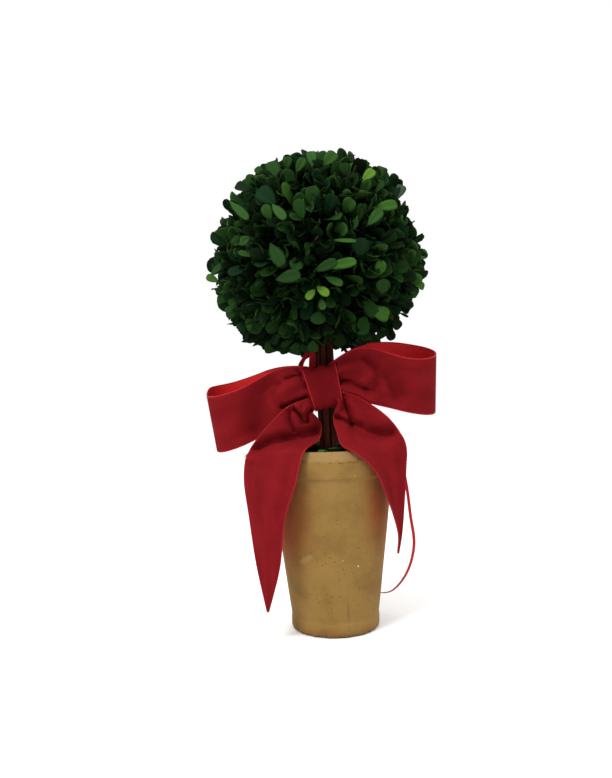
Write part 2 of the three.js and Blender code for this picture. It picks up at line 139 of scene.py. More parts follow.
def deselect_all() -> None:
    """Leave object mode on and nothing selected."""
    if bpy.context.object and bpy.context.object.mode != "OBJECT":
        bpy.ops.object.mode_set(mode="OBJECT")
    bpy.ops.object.select_all(action="DESELECT")


def activate(piece: Piece) -> None:
    """Make one object the only selected and the active one.

    Args:
        piece: The object.
    """
    deselect_all()
    piece.select_set(True)
    bpy.context.view_layer.objects.active = piece


def apply_modifiers(piece: Piece) -> None:
    """Apply all of an object's modifiers in order.

    Args:
        piece: The object.
    """
    activate(piece)
    for modifier in list(piece.modifiers):
        bpy.ops.object.modifier_apply(modifier=modifier.name)


def read_points(piece: Piece) -> np.ndarray:
    """Read a mesh object's vertices.

    Args:
        piece: The object.

    Returns:
        Rows of x, y and z.
    """
    points = np.empty(len(piece.data.vertices) * 3)
    piece.data.vertices.foreach_get("co", points)
    return points.reshape(-1, 3)


def write_points(piece: Piece, points: np.ndarray) -> None:
    """Move a mesh object's vertices to the places in an array."""
    piece.data.vertices.foreach_set("co", np.ascontiguousarray(points, float).ravel())
    piece.data.update()


def hand_over(piece: Piece, name: str, slot: str, *nodes: str) -> None:
    """Name a finished piece, let it ride on the plant's one body and stand for its CAD nodes.

    Args:
        piece: The finished object, at the origin.
        name: Its plain name.
        slot: The record's material slot for its finish; not used.
        *nodes: CAD nodes that it stands for.
    """
    deselect_all()
    piece.name = name
    piece.data.name = name
    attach(piece, ROOT)
    if nodes:
        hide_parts(*nodes)
    log.info("%s: %d faces", name, len(piece.data.polygons))


def unit(vectors: np.ndarray) -> np.ndarray:
    """Scale each row of an array to length one."""
    return vectors / np.maximum(np.linalg.norm(vectors, axis=-1, keepdims=True), 1e-12)


def smoothstep(values: np.ndarray, low: float, high: float) -> np.ndarray:
    """Rise smoothly from 0 at low to 1 at high."""
    share = np.clip((values - low) / (high - low), 0, 1)
    return share * share * (3 - 2 * share)


def smooth_line(stations: list, count: int) -> np.ndarray:
    """Follow a Catmull-Rom curve through stations, as the part's source does.

    Args:
        stations: Points that the curve passes through.
        count: How many even steps of the parameter to take.

    Returns:
        count + 1 points in rows.
    """
    points = np.array(stations, float)
    padded = np.vstack([2 * points[0] - points[1], points, 2 * points[-1] - points[-2]])
    place = np.linspace(0, len(points) - 1, count + 1)
    at = np.minimum(place.astype(int), len(points) - 2)
    t = (place - at)[:, None]
    before, first, second, after = (padded[at + i] for i in range(4))
    start, end = (second - before) / 2, (after - first) / 2
    return ((2 * first - 2 * second + start + end) * t ** 3
            + (3 * second - 3 * first - 2 * start - end) * t ** 2 + start * t + first)


def distance_to_path(points: np.ndarray, path: np.ndarray) -> np.ndarray:
    """Measure how far points lie from a bent line in the same plane.

    Args:
        points: Rows of two numbers.
        path: The line's corners, rows of two numbers.

    Returns:
        The distance of each point.
    """
    best = np.full(len(points), np.inf)
    for first, second in zip(path[:-1], path[1:]):
        run = second - first
        share = np.clip((points - first) @ run / (run @ run), 0, 1)
        best = np.minimum(best, np.linalg.norm(points - first - share[:, None] * run, axis=1))
    return best


class Seeded:
    """The source's own generator of repeatable numbers."""

    def __init__(self, seed: int) -> None:
        """Start it from a seed."""
        self.state = seed & WORD

    def draw(self) -> float:
        """Draw the next number.

        Returns:
            A number from 0 to 1.
        """
        self.state = (self.state + 0x6D2B79F5) & WORD
        mixed = ((self.state ^ (self.state >> 15)) * (1 | self.state)) & WORD
        mixed = ((mixed + (((mixed ^ (mixed >> 7)) * (61 | mixed)) & WORD)) & WORD) ^ mixed
        return ((mixed ^ (mixed >> 14)) & WORD) / 4294967296

    def around(self) -> float:
        """Return the next number from -1 to 1."""
        return 2 * self.draw() - 1


# Finishes


@dataclass(frozen=True)
class UnglazedClay:
    """Buff earthenware, pressed in a mould and fired without glaze.

    The bare body is matt, faintly blotched, and peppered with iron pits and a few lime flecks.
    """

    body: str = "795E2F"
    body_warm: str = "7E6134"
    body_shade: str = "6E5229"
    # The lip's paler colour is a painted highlight.
    lip: str = "7E6640"
    # Red-brown painted shade, with the red light that the bow throws, for the pot's sides beside the tails.
    painted_bow_shade: str = "782F0E"
    smudge: str = "8E8862"
    iron: str = "4A2A14"
    rust: str = "56330E"
    lime: str = "EDE6D2"
    foot: str = "6E4C24"
    # Marks on the pot's front, by x and z in millimetres, and by radius where they differ in size.
    flanks: tuple = ((-38.0, 88.0), (42.0, 96.0))
    flank_radius: float = 30.0
    smudges: tuple = ((-23.0, 54.6), (-20.6, 56.6), (-18.2, 58.6))
    smudge_radius: float = 3.6
    streak: tuple = (8.1, 19.0, 1.9)
    flecks: tuple = ((16.0, 51.2, 0.75), (5.1, 56.2, 0.45))

    def build(self) -> Material:
        """Make the material, patterned on Object coordinates in metres.

        Returns:
            The material.
        """
        material, tree, shader = new_material("unglazed_clay", {"IOR": 1.5, "Specular IOR Level": 0.15})
        place = add_node(tree, "ShaderNodeTexCoord").outputs["Object"]
        split = add_node(tree, "ShaderNodeSeparateXYZ", {0: place})
        height = split.outputs["Z"]

        # Blotches some 25 mm wide, and a fine cast of 3 mm, from uneven clay and fire.
        blotch = add_node(tree, "ShaderNodeTexNoise", {"Vector": place, "Scale": 40.0, "Detail": 3.0})
        blotches = add_node(tree, "ShaderNodeValToRGB", {0: blotch.outputs[0]})
        set_ramp(blotches, [(0.34, linear(self.body_shade)), (0.5, linear(self.body)),
                            (0.68, linear(self.body_warm))])
        fine = add_node(tree, "ShaderNodeTexNoise", {"Vector": place, "Scale": 330.0, "Detail": 4.0})
        colour = self.mix(tree, fine.outputs[0], blotches.outputs[0], linear(self.body_shade), 0.55, 0.8, 0.5)

        # The bevelled lip is painted paler, a painted highlight where it faces up to the light.
        colour = self.mix(tree, height, colour, linear(self.lip), 0.1262, 0.1282, 0.75)

        # A broken dark line under the lip, and pits that gather along it.
        wavy = add_node(tree, "ShaderNodeMath", {0: blotch.outputs[0], 1: 0.006, 2: height},
                        operation="MULTIPLY_ADD").outputs[0]
        away = add_node(tree, "ShaderNodeMath", {0: wavy, 1: 0.1283}, operation="SUBTRACT")
        away = add_node(tree, "ShaderNodeMath", {0: away.outputs[0]}, operation="ABSOLUTE")
        band = add_node(tree, "ShaderNodeMapRange",
                        {"Value": away.outputs[0], "From Max": 0.0013, "To Min": 1.0, "To Max": 0.0})
        breaks = add_node(tree, "ShaderNodeTexNoise", {"Vector": place, "Scale": 260.0, "Detail": 4.0})
        broken = add_node(tree, "ShaderNodeMapRange",
                          {"Value": breaks.outputs[0], "From Min": 0.47, "From Max": 0.6})
        line = add_node(tree, "ShaderNodeMath", {0: band.outputs[0], 1: broken.outputs[0]},
                        operation="MULTIPLY")
        colour = self.mix(tree, line.outputs[0], colour, linear(self.rust), 0.1, 0.9, 0.75)

        # Painted shade: the body is darkened red-brown on both sides beside the bow's tails, in ragged
        # patches, where the bow shades the pot and throws red light on it.
        uneven = add_node(tree, "ShaderNodeMapRange", {"Value": blotch.outputs[0], "From Min": 0.4,
                                                       "From Max": 0.6, "To Min": 0.65, "To Max": 1.15})
        for x, z in self.flanks:
            flank = self.spot(tree, split, x, z, self.flank_radius, 0.5)
            flank = add_node(tree, "ShaderNodeMath", {0: flank, 1: uneven.outputs[0]}, operation="MULTIPLY")
            colour = self.mix(tree, flank.outputs[0], colour, linear(self.painted_bow_shade), 0.0, 0.85, 0.85)
        # A pale rubbed mark in the middle, and a dark run down to the foot.
        for x, z in self.smudges:
            smudge = self.spot(tree, split, x, z, self.smudge_radius, 1.2)
            colour = self.mix(tree, smudge, colour, linear(self.smudge), 0.0, 1.0, 0.26)
        streak = self.spot(tree, split, *self.streak, 0.12)
        colour = self.mix(tree, streak, colour, linear(self.iron), 0.0, 1.0, 0.28)

        # Iron pits 0.8 mm across in over half of all cells of 3 mm, and ones of 0.5 mm between.
        pits = [self.specks(tree, place, 330.0, 0.17, 0.42), self.specks(tree, place, 640.0, 0.19, 0.72)]
        pit = add_node(tree, "ShaderNodeMath", {0: pits[0], 1: pits[1]}, operation="MAXIMUM").outputs[0]
        # They crowd in the lower half, where the wall was thickest in the kiln.
        crowd = add_node(tree, "ShaderNodeMapRange", {"Value": height, "From Min": 0.06, "From Max": 0.11,
                                                      "To Min": 0.95, "To Max": 0.3}).outputs[0]
        crowd = add_node(tree, "ShaderNodeMath", {0: fine.outputs[0], 1: 0.35, 2: crowd},
                         operation="MULTIPLY_ADD").outputs[0]
        pit = add_node(tree, "ShaderNodeMath", {0: pit, 1: crowd}, operation="MULTIPLY",
                       use_clamp=True).outputs[0]
        colour = self.mix(tree, pit, colour, linear(self.iron), 0.0, 1.0, 0.9)
        lime = self.specks(tree, place, 410.0, 0.14, 0.99)
        colour = self.mix(tree, lime, colour, linear(self.lime), 0.0, 1.0, 0.3)
        for x, z, radius in self.flecks:
            fleck = self.spot(tree, split, x, z, radius, 1.0)
            colour = self.mix(tree, fleck, colour, linear(self.lime), 0.0, 1.0, 0.85)

        # The foot is darker along its broken edge, fading out a few millimetres up.
        edge = add_node(tree, "ShaderNodeMath", {0: height, 1: 0.0075}, operation="SUBTRACT").outputs[0]
        edge = add_node(tree, "ShaderNodeMath", {0: blotch.outputs[0], 1: 0.012, 2: edge},
                        operation="MULTIPLY_ADD").outputs[0]
        colour = self.mix(tree, edge, linear(self.foot), colour, -0.002, 0.005, 1.0)

        tree.links.new(colour, shader.inputs["Base Color"])
        rough = add_node(tree, "ShaderNodeMapRange",
                         {"Value": fine.outputs[0], "To Min": 0.74, "To Max": 0.92})
        tree.links.new(rough.outputs[0], shader.inputs["Roughness"])
        sunk = add_node(tree, "ShaderNodeMath", {0: pit, 1: -0.9, 2: fine.outputs[0]},
                        operation="MULTIPLY_ADD")
        bump = add_node(tree, "ShaderNodeBump",
                        {"Height": sunk.outputs[0], "Strength": 0.5, "Distance": 0.0003})
        tree.links.new(bump.outputs[0], shader.inputs["Normal"])
        return material

    def mix(self, tree: Tree, factor: Socket, first: Socket | tuple, second: Socket | tuple,
            low: float, high: float, most: float) -> Socket:
        """Blend two colours where a factor passes from low to high.

        Args:
            tree: The material's tree.
            factor: What decides the blend.
            first: The colour below low.
            second: The colour above high.
            low: Where the blend begins.
            high: Where it is complete.
            most: The largest share that the second colour takes.

        Returns:
            The blended colour.
        """
        share = add_node(tree, "ShaderNodeMapRange",
                         {"Value": factor, "From Min": low, "From Max": high, "To Max": most})
        mixed = add_node(tree, "ShaderNodeMix", {0: share.outputs[0], 6: first, 7: second}, data_type="RGBA")
        return mixed.outputs[2]

    def specks(self, tree: Tree, place: Socket, scale: float, size: float, rarity: float) -> Socket:
        """Scatter soft round specks, in the share of the cells that rarity leaves.

        Args:
            tree: The material's tree.
            place: Object coordinates.
            scale: Cells to the metre.
            size: A speck's radius in cells.
            rarity: The share of the cells with no speck.

        Returns:
            1 inside a speck and 0 outside.
        """
        cells = add_node(tree, "ShaderNodeTexVoronoi", {"Vector": place, "Scale": scale})
        dot = add_node(tree, "ShaderNodeMapRange",
                       {"Value": cells.outputs["Distance"], "From Min": size * 0.6, "From Max": size,
                        "To Min": 1.0, "To Max": 0.0})
        chance = add_node(tree, "ShaderNodeSeparateColor", {0: cells.outputs["Color"]})
        chosen = add_node(tree, "ShaderNodeMath", {0: chance.outputs[0], 1: rarity},
                          operation="GREATER_THAN")
        return add_node(tree, "ShaderNodeMath", {0: dot.outputs[0], 1: chosen.outputs[0]},
                        operation="MULTIPLY").outputs[0]

    def spot(self, tree: Tree, split: Node, x: float, z: float, radius: float,
             upright: float) -> Socket:
        """Mark one place on the pot's front.

        Args:
            tree: The material's tree.
            split: The node that gives the Object coordinates apart.
            x: The spot's middle across, in millimetres.
            z: The spot's height.
            radius: Its radius across.
            upright: Its width as a share of its height.

        Returns:
            1 in the spot's middle, falling softly to 0 at its edge.
        """
        across = add_node(tree, "ShaderNodeMath", {0: split.outputs["X"], 1: x * MM}, operation="SUBTRACT")
        upward = add_node(tree, "ShaderNodeMath", {0: split.outputs["Z"], 1: z * MM}, operation="SUBTRACT")
        upward = add_node(tree, "ShaderNodeMath", {0: upward.outputs[0], 1: upright}, operation="MULTIPLY")
        behind = add_node(tree, "ShaderNodeMath", {0: split.outputs["Y"], 1: 0.0}, operation="MAXIMUM")
        offset = add_node(tree, "ShaderNodeCombineXYZ",
                          {0: across.outputs[0], 1: behind.outputs[0], 2: upward.outputs[0]})
        length = add_node(tree, "ShaderNodeVectorMath", {0: offset.outputs[0]}, operation="LENGTH")
        return add_node(tree, "ShaderNodeMapRange",
                        {"Value": length.outputs["Value"], "From Max": radius * MM,
                         "To Min": 1.0, "To Max": 0.0}, interpolation_type="SMOOTHSTEP").outputs[0]


@dataclass(frozen=True)
class DryFoam:
    """Green florist's foam, a brittle open-cell phenolic that looks like packed dust."""

    body: str = "3E4A2C"
    dark: str = "20281A"

    def build(self) -> Material:
        """Make the material, with cells drawn 1 mm wide so that they show.

        Returns:
            The material.
        """
        material, tree, shader = new_material("dry_flower_foam", {"Roughness": 0.95})
        place = add_node(tree, "ShaderNodeTexCoord").outputs["Object"]
        cells = add_node(tree, "ShaderNodeTexVoronoi", {"Vector": place, "Scale": 1000.0})
        tint = add_node(tree, "ShaderNodeMix", {0: cells.outputs["Distance"], 6: linear(self.dark),
                                                7: linear(self.body)}, data_type="RGBA")
        tree.links.new(tint.outputs[2], shader.inputs["Base Color"])
        bump = add_node(tree, "ShaderNodeBump",
                        {"Height": cells.outputs["Distance"], "Strength": 0.6, "Distance": 0.0004})
        tree.links.new(bump.outputs[0], shader.inputs["Normal"])
        return material


@dataclass(frozen=True)
class DriedBark:
    """Thin dried bark on straight wands, reddish brown, split into lengthwise ridges."""

    name: str
    ridge: str
    groove: str
    worn: str

    def build(self) -> Material:
        """Make the material, its grain 1.2 mm wide and some 25 mm long.

        Returns:
            The material.
        """
        material, tree, shader = new_material(self.name, {"Roughness": 0.85, "Specular IOR Level": 0.12})
        place = add_node(tree, "ShaderNodeTexCoord").outputs["Object"]
        drawn = add_node(tree, "ShaderNodeMapping", {"Vector": place, "Scale": (1.0, 1.0, 0.05)})
        grain = add_node(tree, "ShaderNodeTexNoise",
                         {"Vector": drawn.outputs[0], "Scale": 850.0, "Detail": 5.0, "Roughness": 0.65})
        tint = add_node(tree, "ShaderNodeValToRGB", {0: grain.outputs[0]})
        set_ramp(tint, [(0.36, linear(self.groove)), (0.52, linear(self.ridge)), (0.72, linear(self.worn))])
        tree.links.new(tint.outputs[0], shader.inputs["Base Color"])
        bump = add_node(tree, "ShaderNodeBump",
                        {"Height": grain.outputs[0], "Strength": 0.8, "Distance": 0.0006})
        tree.links.new(bump.outputs[0], shader.inputs["Normal"])
        return material


@dataclass(frozen=True)
class BoxLeafFace:
    """One face of a preserved box leaf, dyed and softened with glycerine.

    Its colour is plain, because it is dealt out by the leaf, and its veins are relief alone.
    """

    name: str
    colour: str
    roughness: float
    relief: float
    gloss: float = 0.015

    def build(self) -> Material:
        """Make the material, its midrib and veins on the leaf's own UV map.

        Returns:
            The material.
        """
        material, tree, shader = new_material(self.name, {
            "Base Color": linear(self.colour), "Roughness": self.roughness, "IOR": 1.45,
            "Specular IOR Level": self.gloss})
        leaf_map = add_node(tree, "ShaderNodeUVMap", uv_map="leaf")
        split = add_node(tree, "ShaderNodeSeparateXYZ", {0: leaf_map.outputs[0]})
        off = add_node(tree, "ShaderNodeMath", {0: split.outputs["X"], 1: 0.5}, operation="SUBTRACT")
        off = add_node(tree, "ShaderNodeMath", {0: off.outputs[0]}, operation="ABSOLUTE").outputs[0]
        # The midrib is a groove 1 mm wide on a leaf of 10 mm, with side veins that run forward.
        rib = add_node(tree, "ShaderNodeMapRange", {"Value": off, "From Max": 0.05})
        slant = add_node(tree, "ShaderNodeMath", {0: off, 1: -0.9, 2: split.outputs["Y"]},
                         operation="MULTIPLY_ADD")
        wave = add_node(tree, "ShaderNodeMath", {0: slant.outputs[0], 1: 70.0}, operation="MULTIPLY")
        vein = add_node(tree, "ShaderNodeMath", {0: wave.outputs[0]}, operation="SINE")
        height = add_node(tree, "ShaderNodeMath", {0: vein.outputs[0], 1: 0.06, 2: rib.outputs[0]},
                          operation="MULTIPLY_ADD")
        bump = add_node(tree, "ShaderNodeBump",
                        {"Height": height.outputs[0], "Strength": self.relief, "Distance": 0.0005})
        tree.links.new(bump.outputs[0], shader.inputs["Normal"])
        return material


class LeafTone(Enum):
    """The dyed greens that sprigs come in, SHADE being painted shade: upper face, underside and share of the
    sprigs.
    """

    # SHADE is painted shade for each shoot's innermost pair, and also darker old growth.
    SHADE = ("071407", "0A1A09", 0.0)
    DEEP = ("101F0D", "152610", 0.38)
    BOTTLE = ("0F2412", "152914", 0.28)
    LEAF = ("1A3213", "223A19", 0.27)
    FRESH = ("27431C", "304C22", 0.04)
    YOUNG = ("2F501D", "395A26", 0.004)
    YELLOW = ("466822", "4E702A", 0.0015)
    GREY = ("2C3C2A", "384834", 0.008)

    def __init__(self, upper: str, under: str, share: float) -> None:
        """Keep the two faces' colours and the share of the sprigs."""
        self.upper, self.under, self.share = upper, under, share

    def finishes(self, stem: str, upper: tuple, under: tuple) -> list[Material]:
        """Make the two faces' materials.

        Args:
            stem: What their names start with.
            upper: The upper face's roughness and relief.
            under: The underside's roughness and relief.

        Returns:
            The upper face's material and the underside's.
        """
        name = f"{stem}_{self.name.lower()}"
        return [BoxLeafFace(name, self.upper, *upper).build(),
                BoxLeafFace(f"{name}_underside", self.under, *under).build()]


@dataclass(frozen=True)
class Moss:
    """Dried preserved moss, a dark felt of short fronds."""

    name: str
    light: str
    dark: str

    def build(self) -> Material:
        """Make the material, its tufts about 3 mm wide.

        Returns:
            The material.
        """
        material, tree, shader = new_material(self.name, {"Roughness": 0.95, "Specular IOR Level": 0.05})
        place = add_node(tree, "ShaderNodeTexCoord").outputs["Object"]
        tufts = add_node(tree, "ShaderNodeTexNoise", {"Vector": place, "Scale": 330.0, "Detail": 6.0})
        tint = add_node(tree, "ShaderNodeValToRGB", {0: tufts.outputs[0]})
        set_ramp(tint, [(0.4, linear(self.dark)), (0.7, linear(self.light))])
        tree.links.new(tint.outputs[0], shader.inputs["Base Color"])
        bump = add_node(tree, "ShaderNodeBump",
                        {"Height": tufts.outputs[0], "Strength": 1.0, "Distance": 0.002})
        tree.links.new(bump.outputs[0], shader.inputs["Normal"])
        return material


@dataclass(frozen=True)
class Velvet:
    """Woven polyester velvet ribbon, its pile cut short and laid one way.

    The pile drinks light head on and glows at grazing angles, and the ground's ribs show faintly.
    """

    name: str
    pile: str
    deep: str
    sheen: str
    sheen_weight: float = 0.12

    def build(self) -> Material:
        """Make the material, patterned in metres on the ribbon's own map.

        Returns:
            The material.
        """
        material, tree, shader = new_material(self.name, {
            "Roughness": 0.95, "Specular IOR Level": 0.05, "Sheen Weight": self.sheen_weight,
            "Sheen Roughness": 0.38, "Sheen Tint": linear(self.sheen)})
        ribbon = add_node(tree, "ShaderNodeUVMap", uv_map="ribbon").outputs[0]
        # Brushed patches some 12 mm wide and twice as long.
        drawn = add_node(tree, "ShaderNodeMapping", {"Vector": ribbon, "Scale": (1.0, 0.5, 1.0)})
        patch = add_node(tree, "ShaderNodeTexNoise",
                         {"Vector": drawn.outputs[0], "Scale": 80.0, "Detail": 3.0})
        # Tufts of pile stand 0.25 mm apart and are drawn at 0.8 mm so that they show, in rows.
        tufts = add_node(tree, "ShaderNodeTexNoise", {"Vector": ribbon, "Scale": 1250.0, "Detail": 3.0})
        rows = add_node(tree, "ShaderNodeMapping", {"Vector": ribbon, "Scale": (0.3, 1.0, 1.0)})
        weft = add_node(tree, "ShaderNodeTexNoise",
                        {"Vector": rows.outputs[0], "Scale": 900.0, "Detail": 2.0})
        grain = add_node(tree, "ShaderNodeMath", {0: tufts.outputs[0], 1: 0.4}, operation="MULTIPLY")
        grain = add_node(tree, "ShaderNodeMath", {0: weft.outputs[0], 1: 0.2, 2: grain.outputs[0]},
                         operation="MULTIPLY_ADD")
        both = add_node(tree, "ShaderNodeMath", {0: patch.outputs[0], 1: 0.45, 2: grain.outputs[0]},
                        operation="MULTIPLY_ADD")
        tint = add_node(tree, "ShaderNodeValToRGB", {0: both.outputs[0]})
        set_ramp(tint, [(0.38, linear(self.deep)), (0.66, linear(self.pile))])
        tree.links.new(tint.outputs[0], shader.inputs["Base Color"])
        bump = add_node(tree, "ShaderNodeBump",
                        {"Height": grain.outputs[0], "Strength": 0.35, "Distance": 0.0004})
        tree.links.new(bump.outputs[0], shader.inputs["Normal"])
        return material


@dataclass(frozen=True)
class WovenEdge:
    """A ribbon's selvedge, satin-woven without pile, so it catches the light as a bright line."""

    name: str
    thread: str
    shade: str
    relief: float = 0.3

    def build(self) -> Material:
        """Make the material, its threads drawn 1.4 mm apart along the edge so that they show.

        Returns:
            The material.
        """
        material, tree, shader = new_material(self.name, {"Roughness": 0.6, "Specular IOR Level": 0.15})
        ribbon = add_node(tree, "ShaderNodeUVMap", uv_map="ribbon").outputs[0]
        threads = add_node(tree, "ShaderNodeTexWave", {"Vector": ribbon, "Scale": 220.0, "Distortion": 0.6},
                           bands_direction="Y")
        tint = add_node(tree, "ShaderNodeMix", {0: threads.outputs["Fac"], 6: linear(self.shade),
                                                7: linear(self.thread)}, data_type="RGBA")
        tree.links.new(tint.outputs[2], shader.inputs["Base Color"])
        bump = add_node(tree, "ShaderNodeBump",
                        {"Height": threads.outputs["Fac"], "Strength": self.relief, "Distance": 0.0002})
        tree.links.new(bump.outputs[0], shader.inputs["Normal"])
        return material


# The sticks


@dataclass
class StickBundle:
    """Seven straight wands tied side by side, from the foam in the pot up into the ball."""

    foot: tuple = (0.4, 0.0, 62.0)
    head: tuple = (-3.4, 0.0, 252.0)
    ring_of_sticks: int = 6
    first_angle: float = 20 * DEGREE
    stick_radius: float = 2.35
    head_taper: float = 0.9
    ring_radius: float = 5.0
    wander: float = 0.35
    keep_out: float = 5.0
    sides: int = 20
    cuts: int = 75
    ridges: int = 7
    relief: float = 0.075
    dark: DriedBark = DriedBark("dried_bark_dark", "3C160A", "150703", "5A2A18")
    light: DriedBark = DriedBark("dried_bark_light", "62382A", "2C140C", "885A40")
    light_sticks: tuple = (3, 4)

    def centre_at(self, height: float) -> np.ndarray:
        """Return the bundle's middle at a height."""
        foot, head = np.array(self.foot), np.array(self.head)
        return foot + (head - foot) * (height - foot[2]) / (head[2] - foot[2])

    def near(self, point: np.ndarray) -> bool:
        """Tell whether a leaf tip would touch the bundle."""
        radius = self.ring_radius + self.stick_radius
        return math.dist(point[:2], self.centre_at(point[2])[:2]) < radius + self.keep_out

    def build(self) -> None:
        """Make the seven sticks, each with its bark's relief."""
        finishes = [self.dark.build(), self.light.build()]
        homes = [(0.0, 0.0)] + [(2 * math.pi * i / self.ring_of_sticks + self.first_angle, self.ring_radius)
                                for i in range(self.ring_of_sticks)]
        for number, (angle, radius) in enumerate(homes):
            piece = self.stick(number, angle, radius)
            piece.data.materials.append(finishes[int(number + 1 in self.light_sticks)])
            hand_over(piece, f"bark_stick_{number + 1}", "bark", f"stem_stick_{number + 1}")

    def stick(self, number: int, angle: float, home: float) -> Piece:
        """Shape one stick from a cylinder.

        Args:
            number: The stick's number, which sets its own ridges.
            angle: Where it stands round the bundle.
            home: How far it stands from the bundle's middle.

        Returns:
            The finished object.
        """
        length = self.head[2] - self.foot[2]
        deselect_all()
        bpy.ops.mesh.primitive_cylinder_add(vertices=self.sides, radius=self.stick_radius * MM,
                                            depth=length * MM, location=(0, 0, length / 2 * MM))
        piece = bpy.context.object
        bpy.ops.object.transform_apply(location=True, rotation=False, scale=False)
        bpy.ops.object.mode_set(mode="EDIT")
        bpy.ops.mesh.select_mode(type="EDGE")
        bpy.ops.mesh.select_all(action="DESELECT")
        bpy.ops.object.mode_set(mode="OBJECT")
        heights = read_points(piece)[:, 2]
        for edge in piece.data.edges:
            low, high = edge.vertices
            edge.select = abs(heights[low] - heights[high]) > length * MM / 2
        bpy.ops.object.mode_set(mode="EDIT")
        bpy.ops.mesh.subdivide(number_cuts=self.cuts)
        bpy.ops.object.mode_set(mode="OBJECT")

        points = read_points(piece) / MM
        share = points[:, 2] / length
        turn = np.arctan2(points[:, 1], points[:, 0])
        twist = turn + 0.5 * share + number
        ridge = np.sin(self.ridges * twist + 0.9 * np.sin(9 * share + number))
        ridge += 0.6 * np.sin((self.ridges + 4) * twist + 1.7 * np.sin(14 * share + 2 * number))
        knobs = np.exp(-((share * 5.3 + 0.37 * number) % 1 - 0.5) ** 2 / 0.004)
        taper = 1 + (self.head_taper - 1) * share
        radius = self.stick_radius * taper * (0.97 + self.relief * ridge / 1.6 + 0.05 * knobs)
        swing = self.wander * np.abs(np.sin(2 * math.pi * share + number)) * np.sin(math.pi * share)
        out = home + (swing if home > 0 else 0)
        line = np.array(self.foot) + np.outer(share, np.array(self.head) - np.array(self.foot))
        placed = np.column_stack([line[:, 0] + out * math.cos(angle) + radius * np.cos(turn),
                                  line[:, 1] + out * math.sin(angle) + radius * np.sin(turn),
                                  line[:, 2]])
        write_points(piece, placed * MM)
        activate(piece)
        bpy.ops.object.shade_smooth_by_angle(angle=60 * DEGREE)
        return piece


# Leaves


@dataclass
class LeafPattern:
    """A box leaf modelled once, 1 long and 1 wide, which every leaf of the plant is a copy of."""

    points: np.ndarray
    faces: np.ndarray
    under: np.ndarray
    uvs: np.ndarray

    @classmethod
    def model(cls, places: tuple, widths: tuple, notch: float) -> "LeafPattern":
        """Shape a leaf from a grid, row by row, and close it with an underside.

        Args:
            places: The stations from stalk to tip.
            widths: The blade's width at each station.
            notch: How far the middle of the tip lies behind its corners.

        Returns:
            The pattern.
        """
        rows, columns = len(widths) - 1, 4
        deselect_all()
        bpy.ops.mesh.primitive_grid_add(x_subdivisions=columns, y_subdivisions=rows, size=1)
        piece = bpy.context.object
        points = read_points(piece)
        stations = np.rint((points[:, 1] + 0.5) * rows).astype(int)
        across = 2 * points[:, 0]
        points[:, 0] *= np.array(widths)[stations]
        points[:, 1] = np.array(places)[stations]
        points[:, 1] -= np.where(stations == rows, notch * (1 - np.abs(across)), 0)
        write_points(piece, points)
        bpy.ops.object.mode_set(mode="EDIT")
        bpy.ops.mesh.select_all(action="SELECT")
        bpy.ops.mesh.duplicate()
        bpy.ops.mesh.flip_normals()
        bpy.ops.object.mode_set(mode="OBJECT")
        count = len(points)
        both = read_points(piece)
        inner = ((stations > 0) & (stations < rows)
                 & (np.abs(points[:, 0]) < np.array(widths)[stations] * 0.49))
        both[count:][inner, 2] -= 1
        write_points(piece, both)
        bpy.ops.object.mode_set(mode="EDIT")
        bpy.ops.mesh.select_all(action="SELECT")
        bpy.ops.mesh.remove_doubles(threshold=1e-5)
        bpy.ops.object.mode_set(mode="OBJECT")
        mesh = piece.data
        corners = np.array([list(face.vertices) for face in mesh.polygons])
        normals = np.array([list(face.normal) for face in mesh.polygons])
        placed = read_points(piece)
        flat = placed[corners.ravel()][:, :2] + (0.5, 0)
        pattern = cls(placed, corners, normals[:, 2] < 0, flat)
        bpy.data.objects.remove(piece)
        bpy.data.meshes.remove(mesh)
        return pattern


# Stations from stalk to tip, the width at each and the tip's notch: spoon, oval and notched leaves.
LEAF_OUTLINES = (
    ((0.0, 0.2, 0.42, 0.64, 0.83, 0.95, 1.0), (0.09, 0.38, 0.72, 0.98, 0.96, 0.66, 0.3), -0.01),
    ((0.0, 0.18, 0.38, 0.6, 0.8, 0.94, 1.0), (0.1, 0.42, 0.78, 0.98, 0.98, 0.72, 0.36), -0.012),
    ((0.0, 0.24, 0.48, 0.7, 0.87, 0.97, 1.0), (0.08, 0.34, 0.68, 0.96, 0.98, 0.74, 0.44), 0.035),
)


